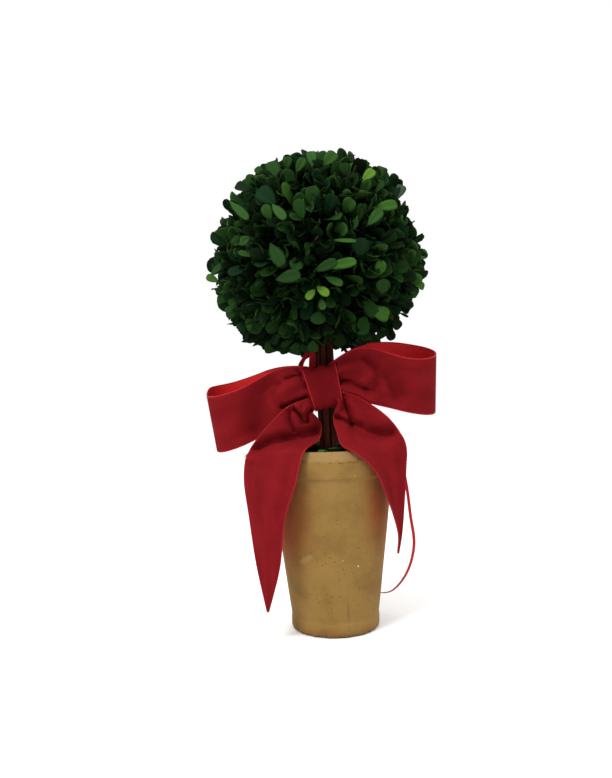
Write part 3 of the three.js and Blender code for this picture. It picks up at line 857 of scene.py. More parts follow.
@dataclass
class LeafHeap:
    """Leaves of one tone, gathered until they are joined into a piece."""

    placed: list = field(default_factory=list)

    def add(self, root: np.ndarray, along: np.ndarray, side: np.ndarray, length: float, width: float,
            bend: float, cup: float, pattern: int) -> None:
        """Remember one leaf.

        Args:
            root: Where its stalk starts.
            along: The unit direction from stalk to tip.
            side: A unit direction across the blade.
            length: Its length.
            width: Its width.
            bend: How far the tip bends to the underside, as a share of the length.
            cup: How far the edges rise, as a share of the width.
            pattern: Which leaf outline it has.
        """
        self.placed.append((root, along, side, length, width, bend, cup, pattern))

    def join(self, name: str, patterns: list[LeafPattern], thickness: float) -> Piece:
        """Copy the patterns to every leaf's place and join the copies in one mesh.

        Args:
            name: The new object's name.
            patterns: The leaf outlines.
            thickness: How thick a blade is at its middle.

        Returns:
            The joined object.
        """
        points, faces, unders, uvs, count = [], [], [], [], 0
        for number, pattern in enumerate(patterns):
            chosen = [leaf for leaf in self.placed if leaf[7] == number]
            if not chosen:
                continue
            root, along, side = (np.array([leaf[i] for leaf in chosen]) for i in range(3))
            length, width, bend, cup = (np.array([leaf[i] for leaf in chosen])[:, None] for i in range(3, 7))
            face = unit(np.cross(side, along))
            side = unit(np.cross(along, face))
            x, y, z = pattern.points.T
            over = z * thickness + cup * width * (2 * x) ** 2 - bend * length * y ** 2
            made = (root[:, None] + (x * width)[..., None] * side[:, None]
                    + (y * length)[..., None] * along[:, None] + over[..., None] * face[:, None])
            starts = count + np.arange(len(chosen)) * len(x)
            points.append(made.reshape(-1, 3))
            faces.append((pattern.faces[None] + starts[:, None, None]).reshape(-1, 4))
            unders.append(np.tile(pattern.under, len(chosen)))
            uvs.append(np.tile(pattern.uvs, (len(chosen), 1)))
            count += len(chosen) * len(x)
        piece = joined_mesh(name, np.concatenate(points) * MM, np.concatenate(faces))
        piece.data.polygons.foreach_set("material_index", np.concatenate(unders).astype(np.int32))
        layer = piece.data.uv_layers.new(name="leaf")
        layer.data.foreach_set("uv", np.concatenate(uvs).ravel())
        return piece


def joined_mesh(name: str, points: np.ndarray, faces: np.ndarray) -> Piece:
    """Make one smooth object of many small shapes, all of faces with the same count of corners.

    Args:
        name: The object's name.
        points: All the corners' places in metres.
        faces: Each face's corners.

    Returns:
        The new object.
    """
    mesh = bpy.data.meshes.new(name)
    mesh.vertices.add(len(points))
    mesh.vertices.foreach_set("co", points.ravel())
    mesh.loops.add(faces.size)
    mesh.loops.foreach_set("vertex_index", faces.astype(np.int32).ravel())
    mesh.polygons.add(len(faces))
    mesh.polygons.foreach_set("loop_start", np.arange(0, faces.size, faces.shape[1], dtype=np.int32))
    mesh.polygons.foreach_set("use_smooth", np.ones(len(faces), bool))
    mesh.update(calc_edges=True)
    mesh.validate()
    piece = bpy.data.objects.new(name, mesh)
    bpy.context.collection.objects.link(piece)
    return piece


@dataclass
class TwigHeap:
    """Tapered twigs, gathered until they are joined into a piece."""

    placed: list = field(default_factory=list)
    sides: int = 5

    def add(self, root: np.ndarray, tip: np.ndarray, radius: float, taper: float) -> None:
        """Remember a twig from root to tip, with its radius and its tip's share of that."""
        self.placed.append((root, tip, radius, taper))

    def join(self, name: str) -> Piece:
        """Join the twigs as faceted tubes, each closed by its pointed tip.

        Args:
            name: The new object's name.

        Returns:
            The joined object.
        """
        root, tip = (np.array([twig[i] for twig in self.placed]) for i in range(2))
        radius, taper = (np.array([twig[i] for twig in self.placed])[:, None, None] for i in range(2, 4))
        along = unit(tip - root)
        side = unit(np.cross(np.array([0.3, 0.5, 0.8]), along))
        other = np.cross(along, side)
        turn = 2 * math.pi * np.arange(self.sides) / self.sides
        ring = np.cos(turn)[None, :, None] * side[:, None] + np.sin(turn)[None, :, None] * other[:, None]
        low = root[:, None] + radius * ring
        high = tip[:, None] + radius * taper * ring
        end = tip[:, None] + (along[:, None] * radius * taper) + 0.1 * radius * taper * ring
        points = np.concatenate([low, high, end], axis=1)
        j = np.arange(self.sides)
        k = (j + 1) % self.sides
        tube = np.column_stack([j, k, k + self.sides, j + self.sides])
        tube = np.concatenate([tube, tube + self.sides])
        starts = np.arange(len(root)) * self.sides * 3
        faces = (tube[None] + starts[:, None, None]).reshape(-1, 4)
        return joined_mesh(name, points.reshape(-1, 3) * MM, faces)


# The ball


@dataclass
class FoliageBall:
    """The clipped ball, grown by the source's rule and carried on to finer twigs."""

    centre: tuple = (-6.0, 0.0, 276.8)
    reach: tuple = (81.5, 81.5, 77.0)
    core_share: float = 0.7
    sprigs: int = 86
    bare_angle: float = 12 * DEGREE
    jitter: float = 0.06
    seed: int = 20
    root_share: float = 0.45
    fork_share: float = 0.6
    tip_share: float = 0.8
    tip_jitter: float = 0.02
    # Each kind of twig's radius and its tip's share of that.
    twig: tuple = (1.3, 0.8)
    shoot: tuple = (0.75, 0.55)
    noted_twig: tuple = (0.35, 0.8)
    bare_twig: tuple = (0.7, 0.8)
    lean: float = 0.1
    shoots: int = 5
    shoot_turn_jitter: float = 0.3
    shoot_offset: float = 9.4 * DEGREE
    shoot_offset_jitter: float = 0.25
    # Each pair's place along its shoot, its spread at the ball's centre and how far out it reaches.
    pairs: tuple = ((0.2, 11.5, 0.9), (0.5, 8.5, 0.955), (0.85, 4.8, 1.0))
    pair_turn_jitter: float = 0.35
    spread_jitter: float = 2.8
    reach_jitter: float = 0.026
    unevenness: float = 0.07  # how much shorter than the rest a shoot may be
    # The clipping is uneven: each lobe's angle as seen from the front, its half width and its share.
    lobes: tuple = ((152.0, 24.0, -0.075), (226.0, 20.0, 0.07), (17.0, 16.0, -0.07), (338.0, 18.0, 0.03),
                    (92.0, 22.0, -0.025))
    straggle_every: int = 29
    straggler: float = 1.03
    leaf_width: float = 9.4
    leaf_width_jitter: float = 0.16
    leaf_thickness: float = 0.35
    usual_leaf: float = 20.0
    longest_leaf: float = 24.0
    leaf_bend: tuple = (-0.05, 0.2)  # the least and the range
    leaf_cup: tuple = (0.1, 0.14)
    roll: float = 0.5
    # Painted light: how far the dealt tones lean lighter towards the top and darker towards the bottom.
    painted_top_light: float = 0.16
    rare_share: float = 0.1  # tones rarer than this come by the pair, the others by the shoot
    odd_from: float = 0.86  # the draw above which a dark leaf is a lighter one
    bare_tips: int = 14
    bare_reach: float = 1.01
    bare_jitter: float = 0.08
    bare_lowest: float = -0.8  # the lowest that a cut end points
    tie_keep_out: tuple = (-15.0, -6.0, 199.0, 2.0)
    # Leaves that stand out one by one in the photograph, by tone: x and z of the stalk, x and z of the
    # tip, and the width.
    noted_leaves: tuple = (
        (LeafTone.YOUNG, (
            (26.6, 231.8, 43.7, 225.2, 10.5), (-2.7, 255.4, 17.2, 258.5, 7), (57.4, 270.5, 78.8, 277, 8.5),
            (30.3, 295.3, 49, 299.8, 7.5), (32.4, 250.8, 35.5, 258.3, 8), (0.6, 272.8, 17.6, 271.2, 2.6),
            (63.5, 254.2, 75.3, 250.1, 6), (-79.5, 259.2, -89.2, 264, 6),
        )),
        (LeafTone.YELLOW, (
            (-8.8, 242.8, -14.4, 236.2, 5.5), (-8.3, 244.6, -1, 238.1, 6), (24.6, 315.4, 34.1, 324.9, 7),
        )),
        (LeafTone.LEAF, (
            (-9.6, 253.3, 4.4, 258.1, 7), (-37.8, 273.2, -30.2, 258.1, 9.5),
            (-34.8, 248.9, -19.5, 250.9, 9), (-31.3, 315.8, -36.9, 336.7, 10.5),
            (-9.8, 295.2, -8.4, 307.2, 10), (-15.8, 285.8, -18.6, 298.5, 8.5),
            (26.1, 226.8, 20.2, 214.3, 13), (-7.1, 229.7, -7.8, 220.5, 10.5),
            (-59.2, 228.5, -48.5, 219.2, 11), (36.6, 239.2, 36.5, 247.1, 10), (13.5, 318.6, 13.2, 326, 8),
            (-22, 211.8, -25.2, 201.5, 10), (-10.9, 212.2, -11.6, 202.8, 9),
            (32.9, 217.9, 35.7, 206.4, 10.3), (59.8, 250.8, 69.9, 244.3, 8),
            (-40.2, 322.8, -47.3, 332.1, 6), (-68.3, 283.5, -74.8, 287.9, 5),
        )),
        (LeafTone.FRESH, (
            (26.6, 283.1, 36, 292.4, 7.5), (-36.8, 288.4, -40.2, 296.9, 7.5),
            (-35.7, 298.2, -27.8, 287.4, 6.5), (-64.8, 304.4, -52.5, 291.1, 6),
            (-7.9, 327, -8.5, 340.4, 7.5), (-0.5, 328.3, 8.1, 337.6, 9), (-43.5, 216.8, -39.8, 204.4, 13),
            (-2.3, 249.9, 8.2, 244.4, 5.5), (-47.5, 266, -58.7, 269, 4), (-51.2, 280.1, -56, 275.1, 6),
            (-5, 237.2, -4.3, 229.5, 5.5), (-62.5, 242.8, -68.6, 238.1, 6.5),
            (-19.3, 323.2, -14.1, 330.3, 6.5), (-25.8, 327.1, -24.2, 333.8, 6.5),
        )),
        (LeafTone.GREY, (
            (51.3, 308.5, 55.9, 320, 7.5),
        )),
        (LeafTone.BOTTLE, (
            (-32.5, 298.6, -45.2, 310.3, 13), (20, 262.5, 21.8, 271.9, 12.5),
            (-16.2, 212.4, -17.2, 202.4, 9.5), (22.7, 216, 25.3, 206.9, 9), (37.5, 221, 42, 212.2, 8),
            (56.1, 240.8, 64.9, 234.4, 8), (27.1, 336.3, 34.1, 348.4, 8.2), (-66.3, 303.1, -68.9, 309.1, 6),
        )),
        (LeafTone.DEEP, (
            (43.8, 223.8, 49.4, 211.8, 7.5), (47.8, 228.7, 55.2, 220, 8), (54, 232.4, 61.6, 228.7, 2.2),
            (41.1, 329.6, 46.4, 343.4, 8.6), (48.7, 327.3, 56.2, 336, 7), (-51.1, 315.1, -62.8, 322.4, 7.2),
        )),
    )
    noted_depths: tuple = (0.91, 1.015)
    noted_room: float = 3.9
    noted_checks: tuple = (0.4, 0.7, 1.0)  # where along a noted leaf a dealt one may not end
    front_from: float = -10.0  # how near the viewer a tip is on the front
    noted_bend: float = 0.14
    noted_cup: float = 0.15
    noted_slant: float = 8.5  # how much nearer or further a stalk may lie than its tip
    bundle: StickBundle = field(default_factory=StickBundle)

    def on_reach(self, direction: np.ndarray, share: float) -> np.ndarray:
        """Find the point at a share of the way out along a direction.

        Args:
            direction: A direction from the ball's centre, of any length.
            share: The share of the reach, which the clipping's lobes change a little.

        Returns:
            The point.
        """
        out = unit(direction)
        angle = math.degrees(math.atan2(out[2], out[0]))
        swell = sum(amount * math.exp(-(((angle - middle + 180) % 360 - 180) / width) ** 2)
                    for middle, width, amount in self.lobes)
        return np.array(self.centre) + out * np.array(self.reach) * share * (1 + swell * (1 - out[1] ** 2))

    def sprig_direction(self, number: int, numbers: Seeded) -> np.ndarray:
        """Take a sprig's direction from a golden spiral, with a little jitter.

        Args:
            number: The sprig's number.
            numbers: The source's draws.

        Returns:
            The unit direction.
        """
        height = 1 - 2 * (number + 0.5) / self.sprigs
        flat = math.sqrt(1 - height * height)
        turn = GOLDEN_ANGLE * number
        jitter = np.array([numbers.around() for _ in range(3)]) * self.jitter
        return unit(np.array([flat * math.cos(turn), flat * math.sin(turn), height]) + jitter)

    def tone_of(self, out: np.ndarray, numbers: Seeded) -> LeafTone:
        """Choose a tone by chance, with painted light: lighter towards the top and darker towards the bottom.

        Args:
            out: The shoot's direction.
            numbers: The finer draws.

        Returns:
            The tone.
        """
        chance = numbers.draw() + self.painted_top_light * float(out[2])
        for tone in LeafTone:
            chance -= tone.share
            if chance < 0:
                return tone
        return LeafTone.LEAF

    def build(self) -> None:
        """Make the core, the twigs and the leaves."""
        patterns = [LeafPattern.model(*outline) for outline in LEAF_OUTLINES]
        heaps = {tone: LeafHeap() for tone in LeafTone}
        twigs = TwigHeap()
        numbers, finer = Seeded(self.seed), Seeded(self.seed + 1)
        count = 0
        for number in range(self.sprigs):
            out = self.sprig_direction(number, numbers)
            lean = np.array([numbers.around() for _ in range(3)])
            spin = math.pi * numbers.draw()
            for _ in range(8):  # the source's draws for its own larger leaves
                numbers.draw()
            if out[2] < -math.cos(self.bare_angle):
                continue
            root = self.on_reach(out, self.root_share)
            fork = self.on_reach(out + lean * self.lean / 2, self.fork_share)
            twigs.add(root, fork, *self.twig)
            side = unit(np.cross(UP, out))
            other = np.cross(out, side)
            for shoot in range(self.shoots):
                turn = spin + 2 * math.pi * shoot / self.shoots + self.shoot_turn_jitter * finer.around()
                offset = math.tan(self.shoot_offset * (1 + self.shoot_offset_jitter * finer.around()))
                aside = math.cos(turn) * side + math.sin(turn) * other
                aim = unit(out + lean * self.lean + offset * aside)
                count = self.grow_shoot(fork, aim, heaps, twigs, finer, count)
        self.note_leaves(heaps, twigs)
        self.bare_twigs(twigs, finer)
        self.hand_over_all(heaps, twigs, patterns)

    def grow_shoot(self, fork: np.ndarray, aim: np.ndarray, heaps: dict[LeafTone, LeafHeap],
                   twigs: TwigHeap, numbers: Seeded, count: int) -> int:
        """Grow one shoot with its pairs of leaves.

        Args:
            fork: Where it leaves its twig.
            aim: Its unit direction from the ball's centre.
            heaps: The leaf heap of each tone.
            twigs: The twig heap.
            numbers: The finer draws.
            count: How many leaves there are so far.

        Returns:
            The new count of leaves.
        """
        vigour = 1 - self.unevenness * numbers.draw()
        tip = self.on_reach(aim, (self.tip_share + self.tip_jitter * numbers.around()) * vigour)
        twigs.add(fork, tip, *self.shoot)
        side = unit(np.cross(UP, aim))
        other = np.cross(aim, side)
        spin = math.pi * numbers.draw()
        sprig_tone = self.tone_of(aim, numbers)
        for number, (place, spread, share) in enumerate(self.pairs):
            pair_tone = self.tone_of(aim, numbers)
            tone = pair_tone if pair_tone.share < self.rare_share else sprig_tone
            # The innermost pair is near black: painted shade deep in the ball, and darker old growth too.
            if number == 0:
                tone = LeafTone.SHADE
            for half in range(2):
                turn = (spin + number * math.pi / 2 + half * math.pi
                        + self.pair_turn_jitter * numbers.around())
                outward = math.cos(turn) * side + math.sin(turn) * other
                angle = (spread + self.spread_jitter * numbers.around()) * DEGREE
                reach = (share + self.reach_jitter * numbers.around()) * vigour
                roll, bend, cup = numbers.around(), numbers.draw(), numbers.draw()
                wide, outline, off = numbers.around(), numbers.draw(), numbers.draw()
                count += 1
                if count % self.straggle_every == 0:
                    reach = self.straggler
                start = fork + (tip - fork) * place
                end = self.on_reach(aim + outward * math.tan(angle), reach)
                keep = self.tie_keep_out
                if self.bundle.near(end) or math.dist(end, keep[:3]) < keep[3] or self.in_the_way(end):
                    continue
                along = unit(end - start)
                length = float(np.linalg.norm(end - start))
                if length > self.longest_leaf:
                    start = end - along * self.longest_leaf
                    length = self.longest_leaf
                across = unit(np.cross(outward, along))
                rolled = self.roll * roll
                turned = across * math.cos(rolled) + np.cross(along, across) * math.sin(rolled)
                width = self.leaf_width * math.sqrt(length / self.usual_leaf)
                odd = off > self.odd_from and tone in (LeafTone.DEEP, LeafTone.BOTTLE)
                heaps[LeafTone.LEAF if odd else tone].add(
                    start, along, turned, length, width * (1 + self.leaf_width_jitter * wide),
                    self.leaf_bend[0] + self.leaf_bend[1] * bend, self.leaf_cup[0] + self.leaf_cup[1] * cup,
                    min(int(outline * len(LEAF_OUTLINES)), len(LEAF_OUTLINES) - 1))
        return count

    def on_face(self, x: float, z: float, share: float) -> np.ndarray:
        """Find the point of the ball's front over a place in x and z.

        Args:
            x: How far right the place is.
            z: Its height.
            share: The share of the reach at which the point lies.

        Returns:
            The point.
        """
        reach = np.array(self.reach) * share
        flat = np.array([(x - self.centre[0]) / reach[0], 0.0, (z - self.centre[2]) / reach[2]])
        flat[1] = -math.sqrt(max(0.0, 1 - float(flat @ flat)))
        return np.array(self.centre) + flat * reach

    def noted_ends(self, leaf: tuple) -> tuple[np.ndarray, np.ndarray]:
        """Return where a noted leaf's stalk and tip lie on the ball's front."""
        return self.on_face(*leaf[:2], self.noted_depths[0]), self.on_face(*leaf[2:4], self.noted_depths[1])

    def in_the_way(self, tip: np.ndarray) -> bool:
        """Tell whether a dealt leaf would cover a leaf that stands out.

        Args:
            tip: The dealt leaf's tip.

        Returns:
            True if the tip lies too close to a noted leaf.
        """
        if tip[1] > self.front_from:
            return False
        noted = [self.noted_ends(leaf) for _, leaves in self.noted_leaves for leaf in leaves]
        roots, ends = (np.array(places) for places in zip(*noted))
        near = [np.linalg.norm(roots + (ends - roots) * share - tip, axis=1).min()
                for share in self.noted_checks]
        return min(near) < self.noted_room

    def note_leaves(self, heaps: dict[LeafTone, LeafHeap], twigs: TwigHeap) -> None:
        """Place the leaves that stand out one by one, each on a twig of its own.

        Args:
            heaps: The leaf heap of each tone.
            twigs: The twig heap.
        """
        for tone, leaves in self.noted_leaves:
            for leaf in leaves:
                start, end = self.noted_ends(leaf)
                start[1] = np.clip(start[1], end[1] - self.noted_slant, end[1] + self.noted_slant)
                along = unit(end - start)
                twigs.add(self.on_reach(start - np.array(self.centre), self.fork_share), start,
                          *self.noted_twig)
                heaps[tone].add(start, along, np.cross(BACK, along), math.dist(start, end), leaf[4],
                                self.noted_bend, self.noted_cup, 1)

    def bare_twigs(self, twigs: TwigHeap, numbers: Seeded) -> None:
        """Let a few cut twig ends stand out between the leaves.

        Args:
            twigs: The twig heap.
            numbers: The finer draws.
        """
        for number in range(self.bare_tips):
            height = 1 - 2 * (number + 0.5) / self.bare_tips
            turn = GOLDEN_ANGLE * number + 0.4
            flat = math.sqrt(1 - height * height)
            out = unit(np.array([flat * math.cos(turn), flat * math.sin(turn),
                                 max(height, self.bare_lowest)]))
            jitter = self.bare_jitter * np.array([numbers.around() for _ in range(3)])
            twigs.add(self.on_reach(out, self.core_share), self.on_reach(out + jitter, self.bare_reach),
                      *self.bare_twig)

    def hand_over_all(self, heaps: dict[LeafTone, LeafHeap], twigs: TwigHeap,
                      patterns: list[LeafPattern]) -> None:
        """Join each kind and hand the pieces over for the ball's node.

        Args:
            heaps: The leaf heap of each tone.
            twigs: The twig heap.
            patterns: The leaf outlines.
        """
        for tone, heap in heaps.items():
            name = f"ball_leaves_{tone.name.lower()}"
            piece = heap.join(name, patterns, self.leaf_thickness)
            for finish in tone.finishes("box_leaf", (0.5, 0.5), (0.66, 0.3)):
                piece.data.materials.append(finish)
            hand_over(piece, name, "leaves", "foliage_ball")
            log.info("%s holds %d leaves", name, len(heap.placed))
        stems = twigs.join("ball_twigs")
        stems.data.materials.append(DriedBark("box_twig_bark", "2A2216", "14110C", "3C3122").build())
        hand_over(stems, "ball_twigs", "bark", "foliage_ball")
        core = self.core()
        # The core's near-black moss is painted shade for the ball's hollow heart.
        core.data.materials.append(Moss("ball_core_moss_painted_shade", "0C1409", "040703").build())
        hand_over(core, "ball_core", "leaves", "foliage_ball")

    def core(self) -> Piece:
        """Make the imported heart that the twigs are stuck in.

        Returns:
            The object.
        """
        deselect_all()
        bpy.ops.mesh.primitive_ico_sphere_add(subdivisions=5, radius=1)
        piece = bpy.context.object
        points = read_points(piece)
        x, y, z = points.T
        lumps = 1 + 0.03 * np.sin(9 * x + 1) * np.sin(8 * y) * np.sin(10 * z + 2)
        size = np.array(self.reach) * self.core_share
        write_points(piece, (np.array(self.centre) + points * lumps[:, None] * size) * MM)
        activate(piece)
        bpy.ops.object.shade_smooth()
        return piece


# The pot


@dataclass
class ClayPot:
    """The tapered pot with its collar, bevelled lip and chipped foot."""

    height: float = 133.0
    foot_radius: float = 32.7
    foot_round: float = 2.6
    foot_height: float = 7.0
    waist_radius: float = 32.3
    waist_height: float = 10.0
    shoulder_radius: float = 45.6
    shoulder_height: float = 113.0
    collar_radius: float = 47.0
    lip_radius: float = 48.2
    lip_height: float = 126.3
    rim_radius: float = 45.4
    rim_round: float = 3.0
    wall: float = 6.2
    floor: float = 7.0
    corner_round: float = 4.0
    sides: int = 160
    step: float = 2.5
    chip_depth: float = 0.9
    # Each round of chips: how many, where they start and their share of the depth.
    chips: tuple = ((9, 0.4, 0.5), (17, 1.9, 0.7), (31, 0.9, 0.6), (53, 2.7, 0.5))
    unevenness: float = 0.5
    clay: UnglazedClay = UnglazedClay()

    def inner_radius(self, height: float) -> float:
        """Return the inner wall's radius at a height."""
        slope = (self.shoulder_radius - self.waist_radius) / (self.shoulder_height - self.waist_height)
        return self.waist_radius - self.wall + slope * (height - self.waist_height)

    def profile(self) -> list[tuple[float, float]]:
        """Draw the pot's section.

        Returns:
            Radius and height from the axis under the foot, round the wall, to the axis on the floor.
        """
        inner_rim, inner_foot = self.inner_radius(self.height), self.inner_radius(self.floor)
        low = self.floor + self.corner_round
        shoulder, top = self.shoulder_radius, self.shoulder_height
        runs = [
            (None, (self.foot_radius - self.foot_round, 0.0)),
            ((self.foot_radius, 0.0), (self.foot_radius, self.foot_round)),
            (None, (self.foot_radius, self.foot_height)),
            ((self.foot_radius, self.waist_height - 1), (self.waist_radius, self.waist_height)),
            (None, (shoulder - 0.35, top - 2.5)),
            ((shoulder, top), (shoulder + 0.6, top + 0.5)),
            ((self.collar_radius, top + 1), (self.collar_radius + 0.2, top + 3.5)),
            (None, (self.lip_radius, self.lip_height - 0.6)),
            ((self.lip_radius, self.lip_height + 0.2), (self.lip_radius - 0.6, self.lip_height + 0.7)),
            (None, (self.rim_radius + 0.5, self.height - 1.2)),
            ((self.rim_radius, self.height), (self.rim_radius - 1.4, self.height)),
            ((inner_rim, self.height), (inner_rim, self.height - self.rim_round)),
            (None, (self.inner_radius(low), low)),
            ((inner_foot, self.floor), (inner_foot - self.corner_round, self.floor)),
            (None, (0.0, self.floor)),
        ]
        points = [(0.0, 0.0)]
        for bend, end in runs:
            start = points[-1]
            count = max(4 if bend else 1, round(math.dist(start, end) / self.step))
            for i in range(1, count + 1):
                t = i / count
                if bend:
                    points.append(tuple((1 - t) ** 2 * a + 2 * t * (1 - t) * b + t * t * c
                                        for a, b, c in zip(start, bend, end)))
                else:
                    points.append(tuple(a + (c - a) * t for a, c in zip(start, end)))
        return points

    def build(self) -> None:
        """Spin the section into the pot, roughen it and dress it."""
        points = self.profile()
        deselect_all()
        bpy.ops.mesh.primitive_plane_add(size=MM)
        piece = bpy.context.object
        bpy.ops.object.mode_set(mode="EDIT")
        bpy.ops.mesh.select_mode(type="VERT")
        bpy.ops.mesh.select_all(action="SELECT")
        bpy.ops.mesh.merge(type="CENTER")
        for (r0, z0), (r1, z1) in zip(points, points[1:]):
            bpy.ops.mesh.extrude_region_move(
                TRANSFORM_OT_translate={"value": ((r1 - r0) * MM, 0, (z1 - z0) * MM)})
        bpy.ops.mesh.select_all(action="SELECT")
        bpy.ops.mesh.spin(steps=self.sides, angle=2 * math.pi, center=(0, 0, 0), axis=(0, 0, 1))
        bpy.ops.mesh.select_all(action="SELECT")
        bpy.ops.mesh.remove_doubles(threshold=2e-6)
        bpy.ops.mesh.normals_make_consistent(inside=False)
        bpy.ops.object.mode_set(mode="OBJECT")
        self.roughen(piece)
        activate(piece)
        bpy.ops.object.shade_smooth_by_angle(angle=35 * DEGREE)
        piece.data.materials.append(self.clay.build())
        hand_over(piece, "clay_pot", "clay", "pot")

    def roughen(self, piece: Piece) -> None:
        """Chip the foot's edge, and leave the wall and lip a little out of true.

        Args:
            piece: The spun pot.
        """
        points = read_points(piece) / MM
        radius = np.hypot(points[:, 0], points[:, 1])
        turn = np.arctan2(points[:, 1], points[:, 0])
        height = points[:, 2]
        outside = radius > self.inner_radius(self.height) * 0.5
        chips = sum(np.clip(np.sin(count * turn + phase), 0, 1) ** 6 * share
                    for count, phase, share in self.chips)
        at_foot = np.exp(-(height / 3.2) ** 2) * (radius > self.foot_radius - self.foot_round - 1.5)
        sunk = np.clip(self.chip_depth * chips, 0, 1.6) * at_foot * outside
        wobble = (0.25 * np.sin(2 * turn + 1) + 0.12 * np.sin(5 * turn + height / 19)
                  + 0.08 * np.sin(13 * turn + height / 7)) * self.unevenness * outside
        nicks = 0.35 * np.clip(np.sin(41 * turn + 2) * np.sin(13 * turn), 0, 1) ** 2
        nicks = nicks * np.exp(-((height - self.lip_height - 0.3) / 0.9) ** 2) * (radius > self.rim_radius)
        new_radius = np.where(radius > 1, radius - sunk - nicks + wobble * np.clip(height / 10, 0, 1), radius)
        scale = np.where(radius > 1, new_radius / np.maximum(radius, 1), 1)
        lifted = height + 0.5 * sunk * (height < self.foot_height)
        write_points(piece, np.column_stack([points[:, 0] * scale, points[:, 1] * scale, lifted]) * MM)


@dataclass
class PotGreenery:
    """The low cushion of moss and leaves round the foot of the sticks."""

    top: float = 131.5
    bottom: float = 122.6
    edge: float = 39.4
    leaves: int = 150
    nearest: float = 9.5
    furthest: float = 33.0
    root_height: float = 129.4
    tip_limit: float = 39.6
    leaf_length: float = 15.0
    length_jitter: float = 0.2
    leaf_width: float = 8.4
    lowest_climb: float = 8 * DEGREE
    climb_range: float = 32 * DEGREE
    turn_jitter: float = 1.2
    roll: float = 0.5
    seed: int = 7
    tones: tuple = (LeafTone.LEAF, LeafTone.DEEP, LeafTone.YOUNG)
    tone_limits: tuple = (0.6, 0.97)  # the draws at which the second and the third tone begin
    slump: float = 2.4
    shortest: float = 5.0
    cup: float = 0.08
    thickness: float = 0.35
    bend: tuple = (0.12, 0.1)  # the least and the range
    noted_bend: float = 0.05
    # Leaves that show in front, each from stalk to tip.
    noted_leaves: tuple = (((1.5, -30.5, 131.0), (-9.8, -33.5, 132.9), 6.5),
                           ((6.0, -31.0, 130.8), (15.5, -32.0, 132.2), 5.0))

    def build(self) -> None:
        """Make the moss and the leaves on it."""
        numbers = Seeded(self.seed)
        patterns = [LeafPattern.model(*LEAF_OUTLINES[1])]
        heaps = {tone: LeafHeap() for tone in self.tones}
        for number in range(self.leaves):
            turn = GOLDEN_ANGLE * number
            home = self.nearest + (self.furthest - self.nearest) * (number + 0.5) / self.leaves
            heading = turn + self.turn_jitter * numbers.around()
            climb = self.lowest_climb + self.climb_range * numbers.draw()
            roll = self.roll * numbers.around()
            sink = (home / self.edge) ** 2 * self.slump
            root = np.array([home * math.cos(turn), home * math.sin(turn), self.root_height - sink])
            along = np.array([math.cos(heading) * math.cos(climb), math.sin(heading) * math.cos(climb),
                              math.sin(climb)])
            side = unit(np.array([-math.sin(heading), math.cos(heading), roll]))
            length = self.leaf_length * (1 + self.length_jitter * numbers.around())
            while length > self.shortest and math.hypot(*(root + along * length)[:2]) > self.tip_limit:
                length -= 0.3
            tone = self.tones[int(np.searchsorted(self.tone_limits, numbers.draw(), "right"))]
            width = self.leaf_width * math.sqrt(length / self.leaf_length)
            bend = self.bend[0] + self.bend[1] * numbers.draw()
            heaps[tone].add(root, along, -side, length, width, bend, self.cup, 0)
        for root, tip, width in self.noted_leaves:
            along = unit(np.array(tip) - np.array(root))
            side = unit(np.cross(along, UP - 0.5 * BACK))
            heaps[LeafTone.YOUNG].add(np.array(root), along, side, math.dist(root, tip), width,
                                      self.noted_bend, self.cup, 0)
        for tone, heap in heaps.items():
            name = f"mouth_leaves_{tone.name.lower()}"
            piece = heap.join(name, patterns, self.thickness)
            for finish in tone.finishes("mouth_leaf", (0.85, 0.4), (0.85, 0.3)):
                piece.data.materials.append(finish)
            hand_over(piece, name, "leaves", "pot_greenery")
        self.moss()

    def moss(self) -> None:
        """Make the mossy mound under the leaves."""
        deselect_all()
        bpy.ops.mesh.primitive_uv_sphere_add(segments=96, ring_count=40, radius=1)
        piece = bpy.context.object
        points = read_points(piece)
        radius = np.hypot(points[:, 0], points[:, 1]) * self.edge
        turn = np.arctan2(points[:, 1], points[:, 0])
        lumps = 0.8 * np.sin(radius / 2.3 + 2 * np.sin(5 * turn)) * np.sin(11 * turn + radius / 5)
        rise = (self.top - 3.5 - self.bottom) * np.clip(points[:, 2], 0, 1) ** 0.6
        rise = rise + lumps * np.clip(points[:, 2] * 3, 0, 1)
        height = self.bottom + np.where(points[:, 2] > 0.02, rise, 0)
        write_points(piece, np.column_stack([points[:, :2] * self.edge, height]) * MM)
        activate(piece)
        bpy.ops.object.shade_smooth()
        piece.data.materials.append(Moss("mouth_moss", "2A4420", "0E160A").build())
        hand_over(piece, "mouth_moss", "leaves", "pot_greenery")


# The bow


@dataclass(frozen=True)
class Fold:
    """A fold line in the ribbon as seen from the front."""

    path: tuple  # its corners, as x and z
    width: float  # to either side
    sink: float  # away from the viewer, below zero where it is a ridge


